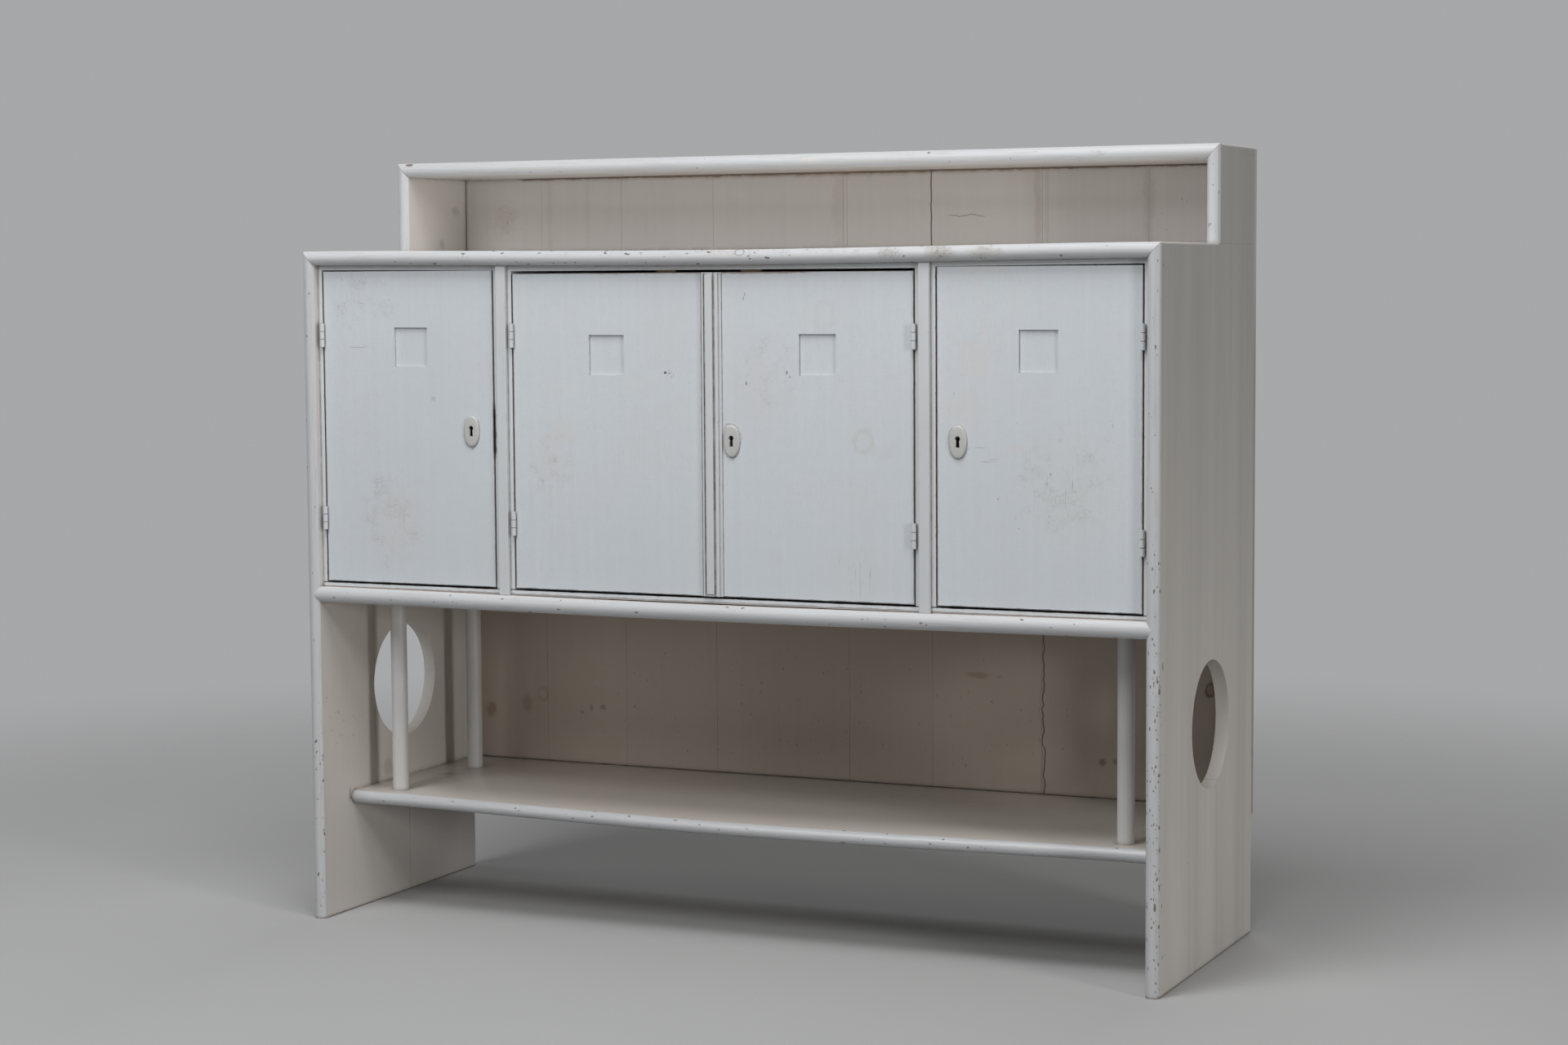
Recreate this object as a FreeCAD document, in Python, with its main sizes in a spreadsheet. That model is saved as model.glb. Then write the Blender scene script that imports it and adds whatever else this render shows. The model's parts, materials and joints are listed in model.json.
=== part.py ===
import FreeCAD, Part
import math
import os
import types
import Sketcher
from FreeCAD import Placement, Rotation, Vector

# A painted storage cabinet: a closed cupboard with four doors over an open bay, and a low open hutch
# set back on top. Lengths are millimetres. X runs to the right, Y from the front to the back and Z up;
# the origin is the middle of the cabinet's outline on the floor.

# Driving sizes. Depths called setback are measured back from the crest of the case's front edges.
SIZES = {
    # Case
    "case_width": 1520, "case_depth": 527, "case_height": 1150, "hutch_rise": 158, "hutch_setback": 310,
    "side_board": 22, "top_board": 24, "bottom_board": 26, "shelf_board": 22, "divider_board": 18,
    "back_board": 12, "nose_rise": 7, "corner_round": 4, "cupboard_floor": 577,
    "lower_shelf_height": 210, "lower_shelf_setback": 93, "housing_depth": 6, "mitre_depth": 18,
    "tail_start": 52, "tail_width": 42, "tail_pitch": 101.5, "tail_splay": 4, "hutch_lap": 12.5,
    "hole_diameter": 206, "hole_height": 386, "hole_setback": 276, "overrun": 2,
    # Back
    "back_foot": 201, "back_drop": 2, "back_crack": 0.3,
    # Posts
    "post_diameter": 28, "post_inset": 74, "post_front_setback": 138, "post_rear_setback": 394,
    "tenon_diameter": 16, "tenon_length": 10, "fit_clearance": 0.05,
    # Dividers, lining and inner shelves
    "left_divider_place": 378, "right_divider_place": 375, "divider_setback": 10.5, "divider_housing": 5,
    "lining_width": 8,
    "inner_shelf_board": 16, "inner_shelf_height": 843, "inner_shelf_setback": 62, "cleat_side": 20,
    "cleat_end_room": 16, "stop_width": 30, "stop_depth": 14, "stop_drop": 22, "stop_place": 60,
    # Doors
    "door_setback": 18, "door_board": 20, "door_gap": 2.5, "pair_gap": 2, "pair_place": -11,
    "pair_head_gap": 8.5, "square_width": 64, "square_height": 66, "square_depth": 3.5,
    "cover_width": 34.6, "cover_base": 2.5, "cover_step_width": 4.2, "cover_step_rise": 2.5,
    "cover_bevel": 1, "cover_groove_width": 3.2, "cover_groove_depth": 2, "cover_ridge_place": 14,
    "cover_ridge_width": 13.2, "cover_ridge_rise": 3, "cover_ridge_inset": 4,
    # Hinges
    "hinge_length": 39, "hinge_inset": 108, "knuckle_radius": 4, "knuckle_gap": 0.3, "pin_radius": 1.6,
    "pin_head_radius": 2.8, "pin_head_rise": 0.8, "axis_proud": 4.2, "leaf_depth": 18, "leaf_relief": 0.4,
    "leaf_clearance": 0.05, "screw_spread": 22, "screw_head_radius": 2.6, "screw_radius": 1.4,
    "screw_length": 9, "screw_point": 2,
    # Locks
    "left_keyhole_height": 848, "pair_keyhole_height": 839, "right_keyhole_height": 844,
    "left_backset": 42, "right_backset": 35, "lock_rise": 18, "lock_case_height": 70,
    "lock_case_depth": 10.5, "lock_case_margin": 14, "selvedge_height": 90, "selvedge_width": 16,
    "selvedge_board": 1.5,
    "bolt_height": 8, "bolt_thickness": 5, "bolt_length": 28, "bolt_throw": 7, "bolt_clearance": 0.2,
    "keyhole_radius": 4.3, "keyhole_slot": 6.2, "keyhole_drop": 13.5, "key_room": 6,
    "escutcheon_width": 29.5, "escutcheon_height": 52, "escutcheon_rim": 2, "escutcheon_rim_board": 1,
    "escutcheon_dome": 4, "escutcheon_margin": 1.7, "keyhole_rise": 5,
    "strike_height": 32, "strike_width": 12, "strike_board": 1, "strike_room": 1.5,
    # Slide bolt of the second door
    "rod_radius": 3.5, "rod_length": 74, "rod_travel": 25, "rod_top_room": 4, "rod_inset": 22,
    "guide_plate_width": 22, "guide_plate_board": 1.5, "guide_block_width": 14, "guide_block_height": 8,
    "guide_wall": 2, "knob_room": 2.6, "knob_radius": 3.2, "knob_length": 9,
    "keeper_width": 20, "keeper_board": 1.2, "keeper_clearance": 0.6, "keeper_pocket": 11,
}
TAIL_COUNT = 3
# The places of the joints between the upright back boards, as shares of the case's width.
PLANK_JOINT_SHARES = [-0.380, -0.272, -0.151, 0.020, 0.124, 0.257, 0.381]
# How far the small square lies below each door's top edge, as a share of the door's height.
SQUARE_DROP_SHARES = {"door_1": 0.242, "door_2": 0.256, "door_3": 0.252, "door_4": 0.247}
# How far it lies to the right of the middle of the door's clear face, as a share of that face's width.
SQUARE_SIDE_SHARES = {"door_1": 0.020, "door_2": 0.002, "door_3": 0.005, "door_4": 0}
HALF_TURN = 180
QUARTER_TURN = 90

doc = FreeCAD.newDocument("StorageCabinet")
sheet = doc.addObject("Spreadsheet::Sheet", "Sizes")


class Measure:
    """A length or a plain number, with the formula by which the document works it out."""

    def __init__(self, value, formula):
        self.value = value
        self.formula = formula

    def joined(self, other, sign, result):
        return Measure(result, "({} {} {})".format(self.formula, sign, other.formula))

    def __add__(self, other):
        return self.joined(measure(other), "+", self.value + measure(other).value)

    def __sub__(self, other):
        return self.joined(measure(other), "-", self.value - measure(other).value)

    def __mul__(self, other):
        return self.joined(measure(other), "*", self.value * measure(other).value)

    def __truediv__(self, other):
        return self.joined(measure(other), "/", self.value / measure(other).value)

    def __radd__(self, other):
        return measure(other) + self

    def __rsub__(self, other):
        return measure(other) - self

    def __rmul__(self, other):
        return measure(other) * self

    def __neg__(self):
        return measure(0) - self


def measure(number):
    """A plain number as a Measure; a Measure comes back as it is."""
    if isinstance(number, Measure):
        return number
    return Measure(float(number), repr(float(number)) if number >= 0 else "({!r})".format(float(number)))


def fill_sheet():
    """Write the driving sizes into the sheet and hand them back by name."""
    for row, (alias, number) in enumerate(SIZES.items(), start=1):
        sheet.set("A{}".format(row), alias)
        sheet.set("B{}".format(row), str(number))
        sheet.setAlias("B{}".format(row), alias)
    doc.recompute()
    return types.SimpleNamespace(
        **{alias: Measure(float(sheet.get(alias)), "Sizes.{}".format(alias)) for alias in SIZES})


S = fill_sheet()
nodes = {}

# Working tools


def keep(name, thing):
    """Name a finished sub-part; its label becomes the name of its file."""
    thing.Label = name
    nodes[name] = thing
    return thing


def bind_place(thing, place):
    thing.Placement = Placement(Vector(*[part.value for part in place]), thing.Placement.Rotation)
    for axis, part in zip("xyz", place):
        thing.setExpression("Placement.Base.{}".format(axis), part.formula)


def box(name, low, high):
    """A block between two corners; the corners may be given in either order along each axis."""
    ends = [sorted((measure(a), measure(b)), key=lambda end: end.value) for a, b in zip(low, high)]
    block = doc.addObject("Part::Box", name)
    for side, (start, end) in zip(("Length", "Width", "Height"), ends):
        setattr(block, side, (end - start).value)
        block.setExpression(side, (end - start).formula)
    bind_place(block, [start for start, end in ends])
    return block


TURNS = {
    "Z": Rotation(),
    "X": Rotation(Vector(0, 1, 0), QUARTER_TURN),
    "-X": Rotation(Vector(0, 1, 0), -QUARTER_TURN),
    "Y": Rotation(Vector(1, 0, 0), -QUARTER_TURN),
    "-Y": Rotation(Vector(1, 0, 0), QUARTER_TURN),
}


def cylinder(name, start, radius, length, direction="Z"):
    rod = doc.addObject("Part::Cylinder", name)
    rod.Placement = Placement(Vector(), TURNS[direction])
    for side, size in (("Radius", radius), ("Height", length)):
        setattr(rod, side, size.value)
        rod.setExpression(side, size.formula)
    bind_place(rod, [measure(part) for part in start])
    return rod


def cone(name, start, radius, end_radius, length, direction="Z"):
    taper = doc.addObject("Part::Cone", name)
    taper.Placement = Placement(Vector(), TURNS[direction])
    for side, size in (("Radius1", radius), ("Radius2", end_radius), ("Height", length)):
        setattr(taper, side, size.value)
        taper.setExpression(side, size.formula)
    bind_place(taper, [measure(part) for part in start])
    return taper


def group(name, things):
    together = doc.addObject("Part::Compound", name)
    together.Links = things
    return together


def fuse(name, things):
    whole = doc.addObject("Part::MultiFuse", name)
    whole.Shapes = things
    return whole


def cut(name, base, tools):
    """The base less its tools; each cut has to take something away."""
    result = doc.addObject("Part::Cut", name)
    result.Base = base
    result.Tool = tools[0] if len(tools) == 1 else group(name + "_tools", tools)
    doc.recompute()
    if result.Shape.isNull() or not result.Shape.Volume < base.Shape.Volume:
        raise RuntimeError("nothing was cut from " + name)
    return result


def placed_copies(name, master, placements):
    """Separate solids of one pattern, each at its own place."""
    doc.recompute()
    copies = doc.addObject("Part::Feature", name)
    copies.Shape = Part.makeCompound([master.Shape.transformed(at.toMatrix(), True) for at in placements])
    return copies


class Bow:
    """An arc that bulges out of an outline between its neighbouring corners."""

    def __init__(self, chord, rise):
        self.rise = rise
        self.radius = (chord * chord / 4 + rise * rise) / (rise * 2)


class Ring:
    """A full circle in an outline."""

    def __init__(self, across, up, radius):
        self.across = across
        self.up = up
        self.radius = radius


def fix_length(sketch, constraint, formula, name):
    index = sketch.addConstraint(constraint)
    sketch.renameConstraint(index, name)
    sketch.setExpression("Constraints.{}".format(name), formula)


def fix_point(sketch, edge, end, across, up, name):
    for axis, size, line in (("X", across, -2), ("Y", up, -1)):
        if size.value == 0:
            sketch.addConstraint(Sketcher.Constraint("PointOnObject", edge, end, line))
        else:
            distance = Sketcher.Constraint("Distance" + axis, -1, 1, edge, end, size.value)
            fix_length(sketch, distance, size.formula, "{}{}".format(name, axis))


def draw_ring(sketch, ring, name):
    centre = Vector(ring.across.value, ring.up.value, 0)
    edge = sketch.addGeometry(Part.Circle(centre, Vector(0, 0, 1), ring.radius.value), False)
    fix_point(sketch, edge, 3, ring.across, ring.up, name)
    radius = ring.radius
    fix_length(sketch, Sketcher.Constraint("Radius", edge, radius.value), radius.formula, name + "R")


def arc_between(start, end, bow, turning):
    """The bow's arc, and which of its ends is the outline's own start and end."""
    chord = end - start
    outward = Vector(chord.y, -chord.x, 0).normalize() * turning
    centre = (start + end) * 0.5 + outward * (bow.rise.value - bow.radius.value)
    first, last = (start, end) if turning > 0 else (end, start)
    angles = [math.atan2((point - centre).y, (point - centre).x) for point in (first, last)]
    if angles[1] < angles[0]:
        angles[1] += 2 * math.pi
    arc = Part.ArcOfCircle(Part.Circle(centre, Vector(0, 0, 1), bow.radius.value), *angles)
    return arc, ((1, 2) if turning > 0 else (2, 1))


def draw_loop(sketch, loop, name):
    corners = [item for item in loop if not isinstance(item, Bow)]
    corners = [(measure(across), measure(up)) for across, up in corners]
    bows = {}
    count = 0
    for item in loop:
        if isinstance(item, Bow):
            bows[count - 1] = item
        else:
            count += 1
    points = [Vector(across.value, up.value, 0) for across, up in corners]
    following = points[1:] + points[:1]
    area = sum(a.x * b.y - b.x * a.y for a, b in zip(points, following))
    edges = []
    for place, (start, end) in enumerate(zip(points, following)):
        if place in bows:
            shape, ends = arc_between(start, end, bows[place], math.copysign(1, area))
        else:
            shape, ends = Part.LineSegment(start, end), (1, 2)
        edges.append((sketch.addGeometry(shape, False), ends))
    for place, (edge, ends) in enumerate(edges):
        after, after_ends = edges[(place + 1) % len(edges)]
        sketch.addConstraint(Sketcher.Constraint("Coincident", edge, ends[1], after, after_ends[0]))
        fix_point(sketch, edge, ends[0], *corners[place], "{}p{}".format(name, place))
        if place in bows:
            radius = bows[place].radius
            fix_length(sketch, Sketcher.Constraint("Radius", edge, radius.value), radius.formula,
                       "{}r{}".format(name, place))


PLANE_ROLES = {"X": "YZ_Plane", "Y": "XZ_Plane", "Z": "XY_Plane"}


def outline(body, name, normal, place, loops):
    """A sketch square to one axis of the body, at a place along that axis."""
    sketch = body.newObject("Sketcher::SketchObject", name)
    plane = [face for face in body.Origin.OriginFeatures if face.Role == PLANE_ROLES[normal]][0]
    sketch.AttachmentSupport = (plane, [""])
    sketch.MapMode = "FlatFace"
    offset = -measure(place) if normal == "Y" else measure(place)
    sketch.AttachmentOffset = Placement(Vector(0, 0, offset.value), Rotation())
    if offset.value:
        sketch.setExpression("AttachmentOffset.Base.z", offset.formula)
    for number, loop in enumerate(loops):
        if isinstance(loop, Ring):
            draw_ring(sketch, loop, "ring{}".format(number))
        else:
            draw_loop(sketch, loop, "loop{}".format(number))
    return sketch


def new_body(name):
    return doc.addObject("PartDesign::Body", name)


def pad(body, name, sketch, length, midplane=False, back=False):
    feature = body.newObject("PartDesign::Pad", name)
    feature.Profile = sketch
    feature.Midplane = midplane
    feature.Reversed = back
    feature.Length = length.value
    feature.setExpression("Length", length.formula)
    body.Tip = feature
    doc.recompute()
    return feature


def pocket(body, name, sketch, length=None, back=False):
    """A cut below the sketch, or right through the body both ways where no length is given."""
    before = body.Shape.Volume
    feature = body.newObject("PartDesign::Pocket", name)
    feature.Profile = sketch
    feature.Reversed = back
    if length is None:
        feature.Type = "ThroughAll"
        feature.Midplane = True
    else:
        feature.Length = length.value
        feature.setExpression("Length", length.formula)
    body.Tip = feature
    doc.recompute()
    if not feature.Shape.Volume < before:
        raise RuntimeError("nothing was cut by " + name)
    return feature


# Places that several pieces share

HALF_WIDTH = S.case_width / 2
INNER = HALF_WIDTH - S.side_board
FRONT = -S.case_depth / 2
REAR = S.case_depth / 2 - S.back_board
HUTCH_FRONT = FRONT + S.hutch_setback
HUTCH_TOP = S.case_height + S.hutch_rise
DECK_UNDERSIDE = S.case_height - S.top_board
NOSE_END = FRONT + S.mitre_depth
HUTCH_NOSE_END = HUTCH_FRONT + S.mitre_depth
DOOR_FACE = FRONT + S.door_setback
DOOR_REAR = DOOR_FACE + S.door_board
DOOR_FOOT = S.cupboard_floor + S.lining_width + S.door_gap
DOOR_HEAD = DECK_UNDERSIDE - S.lining_width - S.door_gap
DIVIDER_HALF = S.divider_board / 2
BAYS = {
    "left": (-INNER, -S.left_divider_place - DIVIDER_HALF),
    "middle": (-S.left_divider_place + DIVIDER_HALF, S.right_divider_place - DIVIDER_HALF),
    "right": (S.right_divider_place + DIVIDER_HALF, INNER),
}
DIVIDER_FACES = {"left": (BAYS["left"][1], BAYS["middle"][0]), "right": (BAYS["middle"][1], BAYS["right"][0])}
SHELF_FRONT = FRONT + S.lower_shelf_setback
SHELF_ARRIS = SHELF_FRONT + S.nose_rise
SHELF_UNDERSIDE = S.lower_shelf_height - S.shelf_board
BOTTOM_UNDERSIDE = S.cupboard_floor - S.bottom_board

POSTS = {
    "post_front_left": (-1, S.post_front_setback),
    "post_front_right": (1, S.post_front_setback),
    "post_rear_left": (-1, S.post_rear_setback),
    "post_rear_right": (1, S.post_rear_setback),
}


def tail_outline(hand, number):
    """One dovetail in plan, widest at the outer face of the side."""
    start = FRONT + S.tail_start + S.tail_pitch * number
    end = start + S.tail_width
    return [(hand * INNER, start + S.tail_splay), (hand * HALF_WIDTH, start),
            (hand * HALF_WIDTH, end), (hand * INNER, end - S.tail_splay)]


def corner_tool(name, hand, top, start, end):
    """What the rounding of a board end's outer top edge takes away."""
    centre_x = hand * (HALF_WIDTH - S.corner_round)
    centre_z = top - S.corner_round
    block = box(name + "_block", (centre_x, start, centre_z),
                (hand * (HALF_WIDTH + S.overrun), end, top + S.overrun))
    round_bar = cylinder(name + "_bar", (centre_x, start - S.overrun, centre_z), S.corner_round,
                         end - start + S.overrun * 2, "Y")
    return cut(name, block, [round_bar])


CORNER_TOOLS = {
    (hand, level): corner_tool("corner_{}_{}".format(level, side), hand, top, start - S.overrun, end)
    for hand, side in ((-1, "left"), (1, "right"))
    for level, top, start, end in (("deck", S.case_height, FRONT, HUTCH_FRONT),
                                   ("hutch", HUTCH_TOP, HUTCH_FRONT, REAR + S.overrun))
}


# Side boards


def nose_outline(hand, front):
    """A side board in plan, with its rounded front edge."""
    arris = front + S.nose_rise
    return [(hand * HALF_WIDTH, arris), Bow(S.side_board, S.nose_rise), (hand * INNER, arris),
            (hand * INNER, REAR), (hand * HALF_WIDTH, REAR)]


def mitre_above(hand, top, drop):
    """The corner of a side's rounded edge that gives way to the mitred end of the board on top."""
    past = hand * (INNER - S.overrun)
    return [(hand * HALF_WIDTH, top), (hand * HALF_WIDTH, top + S.overrun), (past, top + S.overrun),
            (past, top - drop), (hand * INNER, top - drop)]


def side_body(name, hand):
    body = new_body(name + "_board")
    pad(body, name + "_case_pad", outline(body, name + "_case", "Z", 0, [nose_outline(hand, FRONT)]),
        S.case_height)
    pad(body, name + "_hutch_pad", outline(body, name + "_hutch", "Z", 0, [nose_outline(hand, HUTCH_FRONT)]),
        HUTCH_TOP)
    ring = Ring(FRONT + S.hole_setback, S.hole_height, S.hole_diameter / 2)
    pocket(body, name + "_hole_cut", outline(body, name + "_hole", "X", 0, [ring]))
    for level, top, front in (("deck", S.case_height, FRONT), ("hutch", HUTCH_TOP, HUTCH_FRONT)):
        corner = outline(body, name + "_mitre_" + level, "Y", front - S.overrun,
                         [mitre_above(hand, top, S.top_board)])
        pocket(body, name + "_mitre_cut_" + level, corner, S.mitre_depth + S.overrun)
    middle = BOTTOM_UNDERSIDE + S.bottom_board / 2
    past = hand * (INNER - S.overrun)
    notch = [(past, S.cupboard_floor), (hand * INNER, S.cupboard_floor),
             (hand * (HALF_WIDTH - S.side_board / 2), middle), (hand * INNER, BOTTOM_UNDERSIDE),
             (past, BOTTOM_UNDERSIDE)]
    pocket(body, name + "_notch_cut", outline(body, name + "_notch", "Y", FRONT - S.overrun, [notch]),
           S.mitre_depth + S.overrun)
    tails = [tail_outline(hand, number) for number in range(TAIL_COUNT)]
    pocket(body, name + "_sockets_cut", outline(body, name + "_sockets", "Z", S.case_height, tails),
           S.top_board)
    return body


def side(name, hand):
    body = side_body(name, hand)
    housed = hand * (INNER + S.housing_depth)
    past = hand * (INNER - S.overrun)
    tools = [
        box(name + "_deck_housing", (past, HUTCH_FRONT, DECK_UNDERSIDE),
            (housed, REAR + S.overrun, S.case_height)),
        box(name + "_lap", (past, HUTCH_NOSE_END, HUTCH_TOP - S.hutch_lap),
            (hand * (HALF_WIDTH + S.overrun), REAR + S.overrun, HUTCH_TOP + S.overrun)),
        box(name + "_bottom_housing", (past, NOSE_END, BOTTOM_UNDERSIDE),
            (housed, REAR + S.overrun, S.cupboard_floor)),
        box(name + "_shelf_housing", (past, SHELF_ARRIS, SHELF_UNDERSIDE),
            (housed, REAR + S.overrun, S.lower_shelf_height)),
        CORNER_TOOLS[hand, "deck"],
        CORNER_TOOLS[hand, "hutch"],
    ]
    keep(name, cut(name + "_cut", body, tools))


# Horizontal boards


def board_body(name, front, underside, thickness, reach):
    """A horizontal board with a rounded front edge, padded both ways from the middle of the cabinet."""
    body = new_body(name + "_board")
    arris = front + S.nose_rise
    top = underside + thickness
    section = [(arris, top), Bow(thickness, S.nose_rise), (arris, underside), (REAR, underside), (REAR, top)]
    pad(body, name + "_pad", outline(body, name + "_section", "X", 0, [section]), reach * 2, midplane=True)
    return body


def mitre_below(hand, top, drop):
    """What the mitre takes from the end of a top board's rounded edge."""
    past = hand * (HALF_WIDTH + S.overrun)
    return [(hand * HALF_WIDTH, top), (past, top), (past, top - drop - S.overrun),
            (hand * INNER, top - drop - S.overrun), (hand * INNER, top - drop)]


def between_tails(hand):
    """The parts of the main top's end, in plan, that the side's own pins fill."""
    tails = [tail_outline(hand, number) for number in range(TAIL_COUNT)]
    past = hand * (HALF_WIDTH + S.overrun)
    outlines = []
    inner_start = (hand * INNER, NOSE_END)
    outer_start = (hand * HALF_WIDTH, NOSE_END)
    for tail in tails:
        outlines.append([inner_start, outer_start, (past, outer_start[1]), (past, tail[1][1]),
                         tail[1], tail[0]])
        inner_start, outer_start = tail[3], tail[2]
    housed = hand * (INNER + S.housing_depth)
    outlines.append([inner_start, outer_start, (past, outer_start[1]), (past, REAR + S.overrun),
                     (housed, REAR + S.overrun), (housed, HUTCH_FRONT), (hand * INNER, HUTCH_FRONT)])
    return outlines


def divider_housings(name, low, high):
    return [box("{}_divider_housing_{}".format(name, side),
                (start, FRONT + S.divider_setback, low), (end, REAR + S.overrun, high))
            for side, (start, end) in DIVIDER_FACES.items()]


def main_top():
    body = board_body("main_top", FRONT, DECK_UNDERSIDE, S.top_board, HALF_WIDTH)
    for hand, side in ((-1, "left"), (1, "right")):
        mitre = outline(body, "main_top_mitre_" + side, "Y", FRONT - S.overrun,
                        [mitre_below(hand, S.case_height, S.top_board)])
        pocket(body, "main_top_mitre_cut_" + side, mitre, S.mitre_depth + S.overrun)
        gaps = outline(body, "main_top_gaps_" + side, "Z", S.case_height, between_tails(hand))
        pocket(body, "main_top_gaps_cut_" + side, gaps, S.top_board)
    tools = divider_housings("main_top", DECK_UNDERSIDE - S.overrun, DECK_UNDERSIDE + S.divider_housing)
    tools += [CORNER_TOOLS[-1, "deck"], CORNER_TOOLS[1, "deck"]] + keeper_seat()
    keep("main_top", cut("main_top_cut", body, tools))


def hutch_top():
    body = board_body("hutch_top", HUTCH_FRONT, HUTCH_TOP - S.top_board, S.top_board, HALF_WIDTH)
    for hand, side in ((-1, "left"), (1, "right")):
        mitre = outline(body, "hutch_top_mitre_" + side, "Y", HUTCH_FRONT - S.overrun,
                        [mitre_below(hand, HUTCH_TOP, S.top_board)])
        pocket(body, "hutch_top_mitre_cut_" + side, mitre, S.mitre_depth + S.overrun)
    laps = [box("hutch_top_lap_" + side, (hand * INNER, HUTCH_NOSE_END, HUTCH_TOP - S.top_board - S.overrun),
                (hand * (HALF_WIDTH + S.overrun), REAR + S.overrun, HUTCH_TOP - S.hutch_lap))
            for hand, side in ((-1, "left"), (1, "right"))]
    tools = laps + [CORNER_TOOLS[-1, "hutch"], CORNER_TOOLS[1, "hutch"]]
    keep("hutch_top", cut("hutch_top_cut", body, tools))


def tenon_holes(name, start, direction_length):
    """Round seats for the tenons of the four posts."""
    return [cylinder("{}_seat_{}".format(name, post), (hand * (INNER - S.post_inset), FRONT + setback, start),
                     S.tenon_diameter / 2 + S.fit_clearance, direction_length)
            for post, (hand, setback) in POSTS.items()]


def cupboard_bottom():
    crest = HALF_WIDTH - S.side_board / 2
    body = board_body("cupboard_bottom", FRONT, BOTTOM_UNDERSIDE, S.bottom_board, crest)
    middle = BOTTOM_UNDERSIDE + S.bottom_board / 2
    for hand, side in ((-1, "left"), (1, "right")):
        past = hand * (crest + S.overrun)
        upper = [(hand * INNER, S.cupboard_floor), (hand * INNER, S.cupboard_floor + S.overrun),
                 (past, S.cupboard_floor + S.overrun), (past, middle), (hand * crest, middle)]
        lower = [(hand * INNER, BOTTOM_UNDERSIDE), (hand * INNER, BOTTOM_UNDERSIDE - S.overrun),
                 (past, BOTTOM_UNDERSIDE - S.overrun), (past, middle), (hand * crest, middle)]
        for half, corner in (("upper", upper), ("lower", lower)):
            label = "cupboard_bottom_{}_{}".format(half, side)
            pocket(body, label + "_cut", outline(body, label, "Y", FRONT - S.overrun, [corner]),
                   S.mitre_depth + S.overrun)
    housed = INNER + S.housing_depth
    tools = [box("cupboard_bottom_end_" + side, (hand * housed, NOSE_END, BOTTOM_UNDERSIDE - S.overrun),
                 (hand * (crest + S.overrun), REAR + S.overrun, S.cupboard_floor + S.overrun))
             for hand, side in ((-1, "left"), (1, "right"))]
    tools += divider_housings("cupboard_bottom", S.cupboard_floor - S.divider_housing,
                              S.cupboard_floor + S.overrun)
    tools += tenon_holes("cupboard_bottom", BOTTOM_UNDERSIDE - S.overrun, S.tenon_length + S.overrun)
    keep("cupboard_bottom", cut("cupboard_bottom_cut", body, tools))


def lower_shelf():
    reach = INNER + S.housing_depth
    body = board_body("lower_shelf", SHELF_FRONT, SHELF_UNDERSIDE, S.shelf_board, reach)
    tools = [box("lower_shelf_end_" + side,
                 (hand * INNER, SHELF_FRONT - S.overrun, SHELF_UNDERSIDE - S.overrun),
                 (hand * (reach + S.overrun), SHELF_ARRIS, S.lower_shelf_height + S.overrun))
             for hand, side in ((-1, "left"), (1, "right"))]
    tools += tenon_holes("lower_shelf", S.lower_shelf_height - S.tenon_length, S.tenon_length + S.overrun)
    keep("lower_shelf", cut("lower_shelf_cut", body, tools))


# Back boards, dividers, posts and inner shelves


def back_boards():
    joints = [S.case_width * share for share in PLANK_JOINT_SHARES]
    edges = [-HALF_WIDTH] + joints + [HALF_WIDTH]
    for number, (start, end) in enumerate(zip(edges, edges[1:]), start=1):
        low = start if number == 1 else start + S.back_crack / 2
        high = end if number == len(edges) - 1 else end - S.back_crack / 2
        name = "back_board_{}".format(number)
        keep(name, box(name + "_block", (low, REAR, S.back_foot),
                       (high, REAR + S.back_board, HUTCH_TOP - S.back_drop)))


def dividers():
    for side, (start, end) in DIVIDER_FACES.items():
        name = "divider_" + side
        keep(name, box(name + "_block",
                       (start, FRONT + S.divider_setback, S.cupboard_floor - S.divider_housing),
                       (end, REAR, DECK_UNDERSIDE + S.divider_housing)))


def posts():
    for name, (hand, setback) in POSTS.items():
        centre = (hand * (INNER - S.post_inset), FRONT + setback)
        shaft = cylinder(name + "_shaft", (*centre, S.lower_shelf_height), S.post_diameter / 2,
                         BOTTOM_UNDERSIDE - S.lower_shelf_height)
        tenons = cylinder(name + "_tenons", (*centre, S.lower_shelf_height - S.tenon_length),
                          S.tenon_diameter / 2, BOTTOM_UNDERSIDE - S.lower_shelf_height + S.tenon_length * 2)
        keep(name, fuse(name + "_whole", [shaft, tenons]))


def inner_shelves():
    front = FRONT + S.inner_shelf_setback
    cleats = []
    for bay, (left, right) in BAYS.items():
        name = bay + "_bay_shelf"
        keep(name, box(name + "_block", (left, front, S.inner_shelf_height),
                       (right, REAR, S.inner_shelf_height + S.inner_shelf_board)))
        for side, wall, toward in (("left", left, 1), ("right", right, -1)):
            cleats.append(box("{}_cleat_{}".format(name, side),
                              (wall, front + S.cleat_end_room, S.inner_shelf_height - S.cleat_side),
                              (wall + toward * S.cleat_side, REAR - S.cleat_end_room, S.inner_shelf_height)))
    keep("shelf_cleats", group("shelf_cleats_group", cleats))


# Doors

DOOR_MARGIN = S.lining_width + S.door_gap
DOOR_EDGES = {
    "door_1": (BAYS["left"][0] + DOOR_MARGIN, BAYS["left"][1] - DOOR_MARGIN),
    "door_2": (BAYS["middle"][0] + DOOR_MARGIN, S.pair_place - S.pair_gap / 2),
    "door_3": (S.pair_place + S.pair_gap / 2, BAYS["middle"][1] - DOOR_MARGIN),
    "door_4": (BAYS["right"][0] + DOOR_MARGIN, BAYS["right"][1] - DOOR_MARGIN),
}
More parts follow.
